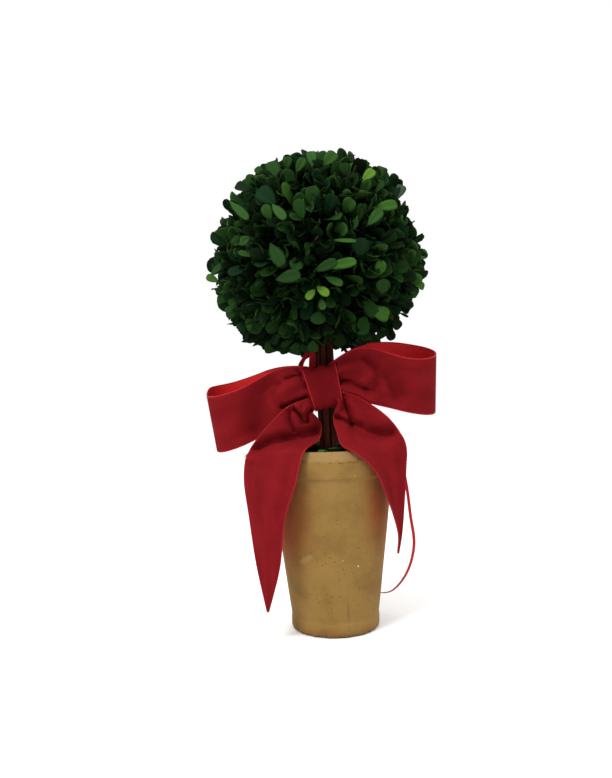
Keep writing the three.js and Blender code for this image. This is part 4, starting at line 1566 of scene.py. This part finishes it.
@dataclass
class RibbonSheet:
    """A ribbon as a grid of points, along by across, that becomes a thin velvet piece."""

    grid: np.ndarray
    flat_width: float
    thickness: float = 0.8
    edge_columns: int = 1
    turned: bool = False  # the velvet lies on the other side of the grid

    def fold(self, folds: tuple, first: float = 0.0, last: float = 1.0) -> None:
        """Press fold lines into the stretch between two shares of the ribbon's length.

        Args:
            folds: The fold lines.
            first: The share where the stretch starts.
            last: The share where it ends.
        """
        rows = self.grid.shape[0]
        share = np.linspace(0, 1, rows)
        within = (smoothstep(share, first - 0.02, first + 0.02)
                  * (1 - smoothstep(share, last - 0.02, last + 0.02)))
        flat = self.grid[..., [0, 2]].reshape(-1, 2)
        for line in folds:
            away = distance_to_path(flat, np.array(line.path, float)).reshape(self.grid.shape[:2])
            self.grid[..., 1] += line.sink * np.exp(-(away / line.width) ** 2) * within[:, None]

    def build(self, name: str, finishes: list[Material], *nodes: str) -> None:
        """Turn the grid into a piece with velvet faces and woven edges.

        Args:
            name: The piece's name.
            finishes: The front, its edge, the back, and its edge.
            *nodes: The CAD nodes that it stands for.
        """
        grid = self.grid[:, ::-1] if self.turned else self.grid
        rows, columns = grid.shape[:2]
        deselect_all()
        bpy.ops.mesh.primitive_grid_add(x_subdivisions=columns - 1, y_subdivisions=rows - 1, size=1)
        piece = bpy.context.object
        write_points(piece, grid.reshape(-1, 3) * MM)
        steps = np.linalg.norm(np.diff(grid.mean(axis=1), axis=0), axis=1)
        along = np.concatenate([[0], np.cumsum(steps)]) * MM
        across = np.linspace(0, self.flat_width * MM, columns)
        places = np.stack(np.broadcast_arrays(across[None, :], along[:, None]), axis=-1).reshape(-1, 2)
        mesh = piece.data
        mesh.uv_layers.active.name = "ribbon"
        corners = np.empty(len(mesh.loops), np.int32)
        mesh.loops.foreach_get("vertex_index", corners)
        mesh.uv_layers["ribbon"].data.foreach_set("uv", places[corners].ravel())
        column = np.arange(len(mesh.polygons)) % (columns - 1)
        at_edge = (column < self.edge_columns) | (column >= columns - 1 - self.edge_columns)
        for finish in finishes:
            mesh.materials.append(finish)
        mesh.polygons.foreach_set("material_index", at_edge.astype(np.int32))
        solid = piece.modifiers.new("ribbon_thickness", "SOLIDIFY")
        solid.thickness = self.thickness * MM
        solid.offset = 0
        solid.material_offset = 2
        apply_modifiers(piece)
        bpy.ops.object.shade_smooth_by_angle(angle=50 * DEGREE)
        hand_over(piece, name, "velvet", *nodes)


def across_shares(count: int, edge: float) -> np.ndarray:
    """Return places across a ribbon from -1 to 1, with a narrow column at each edge.

    Args:
        count: How many even columns lie between the edges.
        edge: The narrow column's width as a share of half the ribbon.

    Returns:
        The places in order.
    """
    return np.concatenate([[-1], np.linspace(-1 + edge, 1 - edge, count + 1), [1]])


@dataclass
class BowLoop:
    """One loop of the bow: the ribbon leaves the knot, swings out and comes back behind."""

    name: str
    node: str
    side: int
    reach: float
    rise: float
    lean: float
    tilt: float
    arch: float
    folds: tuple
    back_folds: tuple = ()
    trim: tuple = (0.0, 0.0, 0.0, 0.0)  # front top, front bottom, back top, back bottom
    trim_powers: tuple = (1.8, 1.8)  # front, back: the lower, the nearer to the knot the top is trimmed
    end_trim: float = 0.0  # how far the front's top edge drops at the loop's end
    end_turn: tuple = (0.97 * math.pi, 1.12 * math.pi)  # where that drop fades out
    end_fullness: float = 1.0  # below one, the loop's end is blunter
    pleat_depth: float = 2.0
    pleats: float = 2.5
    back: float = 1.5
    bulge: float = 27.0
    bulge_power: float = 0.8
    arch_power: float = 0.7
    tilt_from: float = 0.1
    tilt_to: float = 0.75
    gathered_half: float = 9.0
    open_half: float = 22.3
    gather_from: float = -0.15
    gather_to: float = 0.5
    steps: int = 150
    across: int = 36

    def grid(self, knot: np.ndarray) -> np.ndarray:
        """Return the loop's grid by the source's rule, with pleats gathered at the knot.

        Args:
            knot: The knot's centre.

        Returns:
            Points along by across.
        """
        turn = np.linspace(0, 2 * math.pi, self.steps + 1)
        share = (1 - np.cos(turn)) / 2
        swell = np.sign(np.sin(turn)) * np.abs(np.sin(turn)) ** self.end_fullness
        depth = -self.bulge * swell * share ** self.bulge_power
        tilt = self.tilt * smoothstep(share, self.tilt_from, self.tilt_to)
        opened = smoothstep(share, self.gather_from, self.gather_to)
        half = self.gathered_half + (self.open_half - self.gathered_half) * opened
        lift = self.arch * np.sin(math.pi * share ** self.arch_power)
        shares = across_shares(self.across, 0.035)
        out = np.array([self.side * math.cos(self.rise), 0, math.sin(self.rise)])
        up = np.array([-math.sin(self.lean), 0, math.cos(self.lean)])
        front_top, front_bottom, back_top, back_bottom = self.trim
        front = (turn <= math.pi)[:, None]
        front_cut, back_cut = (np.sin(math.pi * share ** power)[:, None] for power in self.trim_powers)
        top = np.where(front, front_top * front_cut, back_top * back_cut)
        dropped = share ** 2 * (1 - smoothstep(turn, *self.end_turn))
        top = top + self.end_trim * dropped[:, None]
        bottom = np.where(front, front_bottom, back_bottom) * np.sin(math.pi * share)[:, None]
        trimmed = 1 - np.where(shares[None, :] > 0, top, bottom)
        height = half[:, None] * shares[None, :] * trimmed
        gathered = np.exp(-(share / 0.2) ** 2)[:, None]
        rows = np.cos(self.pleats * math.pi * shares[None, :] + 0.6 * self.side)
        pleats = self.pleat_depth * gathered * rows
        inward = np.sign(-np.sin(turn))[:, None]
        deep = depth[:, None] - inward * pleats * np.minimum(1, share * 12)[:, None]
        tilt = tilt[:, None]
        grid = knot + self.back * BACK + (out * (self.reach * share)[:, None])[:, None, :]
        grid = grid + (lift[:, None] + deep * np.sin(tilt) + height * np.cos(tilt))[..., None] * up
        return grid + (deep * np.cos(tilt) - height * np.sin(tilt))[..., None] * BACK

    def build(self, knot: np.ndarray, finishes: list[Material]) -> None:
        """Make the loop's piece.

        Args:
            knot: The knot's centre.
            finishes: The front, its edge, the back, and its edge.
        """
        sheet = RibbonSheet(self.grid(knot), RIBBON_WIDTH, turned=self.side > 0)
        sheet.fold(self.folds, 0.0, 0.5)
        sheet.fold(self.back_folds, 0.5, 1.0)
        sheet.build(self.name, finishes, self.node)


@dataclass
class BowTail:
    """One tail of the bow, hung between an outer and an inner edge from the knot to its tip."""

    name: str
    node: str
    stations: tuple
    folds: tuple
    turned: bool
    crown: float = 3.0
    steps: int = 170
    across: int = 34

    def grid(self) -> np.ndarray:
        """Work out the tail's grid by the source's rule.

        Returns:
            Points along by across.
        """
        outer = smooth_line([station[0] for station in self.stations], self.steps)
        inner = smooth_line([station[1] for station in self.stations], self.steps)
        along = unit(np.gradient(outer, axis=0)) + unit(np.gradient(inner, axis=0))
        raised = unit(np.cross(along, inner - outer))
        share = np.linspace(0, 1, self.steps + 1)[:, None, None]
        across = (across_shares(self.across, 0.04)[None, :, None] + 1) / 2
        height = self.crown * np.sin(math.pi * across) * np.sin(math.pi * share)
        return outer[:, None] + (inner - outer)[:, None] * across + raised[:, None] * height

    def build(self, finishes: list[Material]) -> None:
        """Make the tail's piece.

        Args:
            finishes: The front, its edge, the back, and its edge.
        """
        sheet = RibbonSheet(self.grid(), RIBBON_WIDTH, turned=self.turned)
        sheet.fold(self.folds)
        sheet.build(self.name, finishes, self.node)


@dataclass
class BowKnot:
    """The band that wraps the bow's middle, round the gathered ribbon inside."""

    centre: tuple = (-4.0, -17.0, 177.7)
    half_length: float = 11.4
    half_height: float = 16.2
    half_depth: float = 7.4
    rise: float = 9 * DEGREE
    lean: float = 12.5 * DEGREE
    waist: float = 0.94
    squareness: float = 0.8
    flare: float = 0.09  # how much wider the band is above than below
    # Each part's size and length as shares of the knot's, and how flat its front is.
    band: tuple = (0.98, 1.0, 1.0)
    heart: tuple = (0.86, 0.96, 0.0)
    heart_pleats: int = 9
    heart_relief: float = 0.035
    steps: int = 26
    sides: int = 112

    def grid(self, size: float, length: float, flat: float) -> np.ndarray:
        """Return rings round the bow's line, as points round by along.

        Args:
            size: The rings' size as a share of the knot's.
            length: The band's length as a share of the knot's.
            flat: How much the front is flattened, from 0 to 1.

        Returns:
            The grid, closed on itself round the bow.
        """
        along = np.array([math.cos(self.rise), 0, math.sin(self.rise)])
        up = np.array([-math.sin(self.lean), 0, math.cos(self.lean)])
        turn = np.linspace(0, 2 * math.pi, self.sides + 1)[:, None]
        share = across_shares(self.steps, 0.06)[None, :]
        bulge = self.waist + (1 - self.waist) * share ** 2
        deep = np.sign(np.cos(turn)) * np.abs(np.cos(turn)) ** self.squareness
        high = np.sign(np.sin(turn)) * np.abs(np.sin(turn)) ** self.squareness
        front = np.clip(-np.cos(turn), 0, 1)
        creased = 0.45 * np.sin(3.1 * share * math.pi + 2 * high) * front * np.abs(high) ** 3
        wavy = 1.2 * np.sin(2.3 * share * math.pi + 0.7) * np.clip(high, 0, 1) ** 4
        depth = self.half_depth * bulge * size * deep * (1 - flat * 0.12 * front) + creased
        height = self.half_height * bulge * size * high + wavy
        run = share * self.half_length * length * (1 + self.flare * high)
        return (np.array(self.centre) + along[None, None] * run[..., None]
                + depth[..., None] * BACK + height[..., None] * up)

    def build(self, finishes: list[Material]) -> None:
        """Make the band and the gathered heart inside it.

        Args:
            finishes: The front, its edge, the back, and its edge.
        """
        band = RibbonSheet(self.grid(*self.band), 23.0, 1.0, turned=True)
        band.build("bow_knot_band", finishes, "bow_knot")
        heart = self.grid(*self.heart)
        pleat = np.cos(self.heart_pleats * np.linspace(0, 2 * math.pi, self.sides + 1))[:, None]
        middle = heart.mean(axis=0, keepdims=True)
        heart = middle + (heart - middle) * (1 + self.heart_relief * pleat)[..., None]
        closed = np.concatenate([np.repeat(middle[:, :1], len(heart), axis=0), heart,
                                 np.repeat(middle[:, -1:], len(heart), axis=0)], axis=1)
        RibbonSheet(closed, 26.0, 0.6, 0, turned=True).build("bow_knot_heart", finishes, "bow_knot")


# The loops and tails, with the folds that the photograph shows.
LEFT_LOOP = BowLoop(
    "bow_loop_left_velvet", "bow_loop_left", -1, 83.3, -14.5 * DEGREE, 7 * DEGREE, 14 * DEGREE, 5.0,
    arch_power=0.55,
    trim=(0.16, 0.0, 0.27, 0.1),
    trim_powers=(1.2, 1.8),
    end_trim=0.1,
    end_fullness=0.8,
    gathered_half=10.6,
    folds=(
        Fold(((-31.3, 184.8), (-25.8, 186.5), (-20.3, 187)), 1.3, 3.5),
        Fold(((-23.4, 191.1), (-20.8, 187.7), (-19.5, 182.8)), 1.2, 3),
        Fold(((-35.8, 180), (-39.5, 173.5), (-38.4, 168), (-34.1, 163.7)), 2.5, 3.5),
        Fold(((-34.1, 163.7), (-27.5, 166.8), (-17.5, 171.2)), 1.6, 5),
        Fold(((-35, 176.5), (-20.6, 182)), 4.5, -3),
        Fold(((-45.6, 180.2), (-49.2, 167.4), (-52.9, 151)), 9, 8.5),
    ),
)
RIGHT_LOOP = BowLoop(
    "bow_loop_right_velvet", "bow_loop_right", 1, 82.6, 1.4 * DEGREE, 1 * DEGREE, 19 * DEGREE, 9.0,
    trim=(0.13, 0.07, 0.1, 0.1),
    folds=(
        Fold(((6.5, 181.4), (15.8, 182), (21.2, 178.2), (25.4, 176.2)), 1.7, 5),
        Fold(((28, 176.4), (31.1, 179), (35.1, 185), (32.6, 192.2), (25.1, 197.9)), 2.6, 3.8),
        Fold(((9.5, 191.8), (21.6, 193.6), (26.9, 185.7), (22.4, 181.5)), 5, -4.5),
        Fold(((38.9, 183.7), (32.6, 175.1)), 2.6, 3.2),
        Fold(((43.2, 185.2), (49.4, 171)), 5.5, 7),
        Fold(((38.3, 181), (39.1, 173.3)), 3.5, -2.2),
        Fold(((9.1, 177), (19.9, 172.2), (28.5, 167)), 3, -3),
    ),
)
LEFT_TAIL = BowTail(
    "bow_tail_left_velvet", "bow_tail_left",
    stations=(
        ((-12, -19.5, 171.5), (-9, -17, 163)), ((-19.5, -23.6, 169), (-12.4, -19.5, 159.6)),
        ((-26, -28.6, 167), (-9, -15.5, 155)), ((-34.2, -32.6, 162), (-6.6, -13.4, 150)),
        ((-43.9, -35, 153), (-6.6, -17, 144.6)), ((-52.4, -35.6, 143), (-9.6, -32, 139.6)),
        ((-60.3, -33.6, 130.5), (-19.5, -47, 133.6)), ((-62.7, -31, 113), (-26, -48.5, 112)),
        ((-60, -32, 89), (-34, -46, 88)), ((-55.6, -34, 55), (-38.7, -43.9, 54)),
        ((-48.8, -38, 22), (-47.4, -38.8, 22.4)),
    ),
    folds=(
        Fold(((-51.9, 135.1), (-44.7, 138.5), (-34.8, 140.6), (-22.8, 140.4), (-12.9, 142.3)), 5, 11),
        Fold(((-58.1, 129.3), (-44.8, 133.8), (-28.4, 136.2), (-15.2, 138.3)), 3.5, -3.5),
        Fold(((-30, 161.7), (-29.4, 154.6), (-26.8, 147.5)), 2.2, 5),
        Fold(((-26.4, 163.3), (-22.2, 158.8), (-20, 152.7), (-16.9, 153.2), (-17.3, 158.6),
             (-13.9, 161.8)), 1.5, 5),
        Fold(((-23.1, 164.3), (-20.5, 159.8), (-17.7, 163)), 1.6, -3),
        Fold(((-33.6, 142.6), (-22.9, 143.4), (-11.3, 146.5)), 4.2, 5.5),
    ),
    turned=True,
)
RIGHT_TAIL = BowTail(
    "bow_tail_right_velvet", "bow_tail_right",
    stations=(
        ((1, -19.5, 173), (-1, -17, 167)), ((8, -23, 174), (5.6, -22, 168)),
        ((14.8, -26.6, 172.4), (2.6, -20, 158.5)), ((22.6, -29.6, 168.6), (2.4, -18.6, 151.5)),
        ((37, -32, 158.4), (4, -28, 145)), ((46.6, -31, 147.6), (6.4, -42, 137.2)),
        ((53, -27, 134.6), (17, -49.6, 131)), ((52.8, -25.6, 117), (29.4, -45.6, 118)),
        ((51, -25.6, 95), (38.5, -38.5, 96)), ((48.5, -27, 73), (44.8, -32.5, 73.5)),
        ((45.4, -28.4, 58), (44.4, -29.2, 58.3)),
    ),
    folds=(
        Fold(((9.4, 171.5), (12.3, 163.2), (15.7, 150.2)), 1.7, 5),
        Fold(((3.7, 156.4), (9.3, 154), (15.7, 150)), 1.5, 4.2),
        Fold(((6.4, 166.7), (5.6, 159.1), (11.5, 155.6)), 3, -3),
        Fold(((18.9, 147.7), (25.4, 143.7), (34, 142.4), (41.7, 143.8)), 5, 9),
        Fold(((14, 166.4), (19.6, 153.2)), 2.5, -2.5),
        Fold(((35.5, 152.7), (44.9, 139.3), (47.8, 128.3)), 5, -2.5),
    ),
    turned=False,
)


@dataclass
class Bow:
    """The whole bow: knot, loops, tails, the tie round the sticks and the loose narrow ribbon."""

    pile: Velvet = Velvet("red_velvet", "6F1217", "580A0F", "B01419")
    # A darker copy of the velvet for the knot and the tie: the pile laid the other way, and painted shade on
    # the upright knot.
    velvet_against_pile_and_shade: Velvet = Velvet("red_velvet_against_the_pile", "640D12", "4E060C", "981217")
    # The ribbon's back: its own woven ground, painted brighter as light shining through into the loops.
    ground: WovenEdge = WovenEdge("red_ribbon_back_painted_light", "C02226", "B41C20", 0.1)
    edge: WovenEdge = WovenEdge("red_selvedge", "980A12", "80060E")
    # A darker copy of the selvedge for the tails: painted shade that tones down the light their edges catch.
    tail_edge_painted_shade: WovenEdge = WovenEdge("red_selvedge_of_the_tails_painted_shade", "880C12", "70080E")
    satin: WovenEdge = WovenEdge("red_satin_ribbon", "A81418", "8C0C12")
    knot: BowKnot = field(default_factory=BowKnot)
    loops: tuple = (LEFT_LOOP, RIGHT_LOOP)
    tails: tuple = (LEFT_TAIL, RIGHT_TAIL)
    centre: tuple = (-5.4, -17.0, 177.3)
    tie_bottom: float = 171.0
    tie_top: float = 183.0
    tie_inner: float = 8.15
    tie_thickness: float = 1.0
    thread_width: float = 0.9
    thread_path: tuple = ((-57.5, -33.6, 133.2), (-60.0, -34.6, 131.9), (-62.2, -34.9, 129.6))
    strand_width: float = 2.2
    strand_turns: tuple = (85 * DEGREE, -80 * DEGREE)
    strand_path: tuple = (
        (5.6, 5.2, 177.5), (9.8, 3.5, 173), (23, 1, 158), (39, -6, 146), (49.6, -12, 128), (54, -14, 106),
        (57, -10, 82), (59.6, -6, 59), (55, 2, 37), (44.8, 14, 20), (33, 26, 15.5), (22, 34, 17),
    )
    tie_loop: tuple = (
        ((-12.5, -8.6, 184.5), (-12.5, -2.6, 184.5)), ((-19.5, -9.4, 190), (-18.5, -3.6, 191)),
        ((-22, -8.8, 194.4), (-18.2, -5, 196)), ((-18.6, -8, 200.4), (-15.2, -4.6, 201.2)),
        ((-15, -6.8, 208.2), (-12.4, -3.6, 207.4)), ((-13.8, -4.8, 202), (-9, -2.2, 202)),
        ((-14.2, -4.2, 194.5), (-9.2, -1.6, 194.5)), ((-14.4, -3.8, 187), (-9.6, -1, 187)),
    )

    def build(self) -> None:
        """Make all of the bow's pieces."""
        velvet, edge, satin = self.pile.build(), self.edge.build(), self.satin.build()
        ground, velvet_against_pile_and_shade = self.ground.build(), self.velvet_against_pile_and_shade.build()
        centre = np.array(self.centre)
        self.knot.build([velvet_against_pile_and_shade, edge, ground, edge])
        for loop in self.loops:
            loop.build(centre, [velvet, edge, ground, edge])
        dim = self.tail_edge_painted_shade.build()
        for tail in self.tails:
            tail.build([velvet, dim, ground, dim])
        self.loose_thread([satin] * 4)
        self.tie([velvet_against_pile_and_shade, edge, ground, edge])
        self.tie_loop_ribbon([satin, edge, satin, edge])
        self.strand([satin] * 4)

    def tie(self, finishes: list[Material]) -> None:
        """Wrap the tie round the sticks, with a slight pinch at its middle.

        Args:
            finishes: The front, its edge, the back, and its edge.
        """
        level = (self.tie_bottom + self.tie_top) / 2
        middle = StickBundle().centre_at(level)
        turn = np.linspace(0, 2 * math.pi, 97)[:, None]
        share = across_shares(12, 0.12)[None, :]
        radius = self.tie_inner + self.tie_thickness / 2 - 0.35 * (1 - share ** 2) + 0.12 * np.sin(6 * turn)
        width = self.tie_top - self.tie_bottom
        height = level + share * width / 2 + 0 * turn
        grid = np.stack([middle[0] + radius * np.cos(turn), middle[1] + radius * np.sin(turn), height],
                        axis=-1)
        RibbonSheet(grid, width, turned=True).build("bow_tie_band", finishes, "bow_tie")

    def tie_loop_ribbon(self, finishes: list[Material]) -> None:
        """Make the small loop of narrow ribbon that stands up behind the knot.

        Args:
            finishes: The front, its edge, the back, and its edge.
        """
        first, second = (smooth_line([station[i] for station in self.tie_loop], 80) for i in range(2))
        share = (across_shares(8, 0.15)[None, :, None] + 1) / 2
        grid = first[:, None] + (second - first)[:, None] * share
        RibbonSheet(grid, 6.0, 0.7).build("bow_tie_loop_ribbon", finishes, "bow_tie_loop")

    def loose_thread(self, finishes: list[Material]) -> None:
        """Leave a pulled thread at the left tail's edge.

        Args:
            finishes: The front, its edge, the back, and its edge.
        """
        line = smooth_line(list(self.thread_path), 24)
        half = self.thread_width / 2 * np.sin(math.pi * np.linspace(0.1, 0.95, 25))[:, None, None]
        grid = line[:, None] + UP * half * across_shares(2, 0.4)[None, :, None]
        RibbonSheet(grid, self.thread_width, 0.4).build("bow_tail_left_thread", finishes, "bow_tail_left")

    def strand(self, finishes: list[Material]) -> None:
        """Make the loose narrow ribbon that hangs beside the pot and curls in behind it.

        Args:
            finishes: The front, its edge, the back, and its edge.
        """
        steps = 160
        line = smooth_line(list(self.strand_path), steps)
        along = unit(np.gradient(line, axis=0))
        side = unit(np.cross(-BACK, along))
        deep = np.cross(along, side)
        share = np.linspace(0, 1, steps + 1)
        turn = self.strand_turns[0] + (self.strand_turns[1] - self.strand_turns[0]) * share
        across = np.cos(turn)[:, None] * side + np.sin(turn)[:, None] * deep
        half = self.strand_width / 2 * (1 - 0.75 * np.clip((share - 0.94) / 0.06, 0, 1))
        places = across_shares(6, 0.2)[None, :, None]
        grid = line[:, None] + across[:, None] * half[:, None, None] * places
        RibbonSheet(grid, self.strand_width, 0.45).build("bow_loose_ribbon", finishes, "bow_strand")


# The studio


@dataclass
class Studio:
    """Camera, floor and soft lights for a photograph on white."""

    camera_place: tuple = (-0.017, -0.540, 0.1769)
    camera_roll: float = 0.0304
    lens: float = 33.3
    sensor: float = 36.0
    floor_size: float = 6.0
    floor_colour: str = "DCDBDA"
    world_colour: str = "FFFFFF"
    overhead_strength: float = 1.8
    overhead_from: float = 0.45  # how high the sky's brighter part begins and where it is full
    overhead_full: float = 0.75
    # Name, place, aim, size in metres and power in watts.
    lights: tuple = (
        ("key_softbox", (-0.5, -0.6, 1.0), (0.0, 0.0, 0.22), 0.35, 12.0),
        ("side_softbox", (0.85, -0.35, 0.8), (0.0, 0.0, 0.18), 0.5, 3.0),
    )

    def camera(self) -> None:
        """Place the camera at the photograph's viewpoint."""
        data = bpy.data.cameras.new("photo_camera")
        data.sensor_width = self.sensor
        data.lens = self.lens
        camera = bpy.data.objects.new("photo_camera", data)
        camera.location = self.camera_place
        turn = Matrix.Rotation(self.camera_roll, 3, "Y") @ Matrix.Rotation(math.pi / 2, 3, "X")
        camera.rotation_euler = turn.to_euler()
        bpy.context.collection.objects.link(camera)
        bpy.context.scene.camera = camera

    def set_up(self) -> None:
        """Lay the floor and hang the lights."""
        deselect_all()
        bpy.ops.mesh.primitive_plane_add(size=self.floor_size, location=(0, 0, -0.0002))
        floor = bpy.context.object
        floor.name = "studio_floor"
        # Matt seamless paper, its fibres faint.
        material, tree, shader = new_material("studio_floor_paper", {
            "Base Color": linear(self.floor_colour), "Roughness": 0.9})
        place = add_node(tree, "ShaderNodeTexCoord").outputs["Object"]
        fibres = add_node(tree, "ShaderNodeTexNoise", {"Vector": place, "Scale": 400.0, "Detail": 2.0})
        bump = add_node(tree, "ShaderNodeBump",
                        {"Height": fibres.outputs[0], "Strength": 0.05, "Distance": 0.0003})
        tree.links.new(bump.outputs[0], shader.inputs["Normal"])
        floor.data.materials.append(material)
        world = bpy.data.worlds.new("studio_world")
        world.use_nodes = True
        tree = world.node_tree
        tree.nodes["Background"].inputs["Color"].default_value = linear(self.world_colour)
        aim = add_node(tree, "ShaderNodeTexCoord").outputs["Generated"]
        split = add_node(tree, "ShaderNodeSeparateXYZ", {0: aim})
        glow = add_node(tree, "ShaderNodeMapRange",
                        {"Value": split.outputs["Z"], "From Min": self.overhead_from,
                         "From Max": self.overhead_full, "To Min": 1.0, "To Max": self.overhead_strength})
        tree.links.new(glow.outputs[0], tree.nodes["Background"].inputs["Strength"])
        bpy.context.scene.world = world
        for name, place, aim, size, power in self.lights:
            data = bpy.data.lights.new(name, "AREA")
            data.size = size
            data.energy = power
            lamp = bpy.data.objects.new(name, data)
            lamp.location = place
            direction = np.array(aim) - np.array(place)
            back_axis = unit(-direction)
            right = unit(np.cross(UP, back_axis))
            turn = Matrix(np.column_stack([right, np.cross(back_axis, right), back_axis]))
            lamp.rotation_euler = turn.to_euler()
            bpy.context.collection.objects.link(lamp)
        bpy.context.scene.view_settings.view_transform = "Standard"


def main() -> None:
    """Build the plant's looks in order."""
    logging.basicConfig(level=logging.INFO, format="%(name)s: %(message)s")
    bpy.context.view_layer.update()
    studio = Studio()
    studio.camera()
    StickBundle().build()
    FoliageBall().build()
    ClayPot().build()
    PotGreenery().build()
    Bow().build()
    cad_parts["pot_fill"].material_slots[0].material = DryFoam().build()
    log.info("pot_fill: dressed in dry foam")
    studio.set_up()


if __name__ == "__main__":
    main()
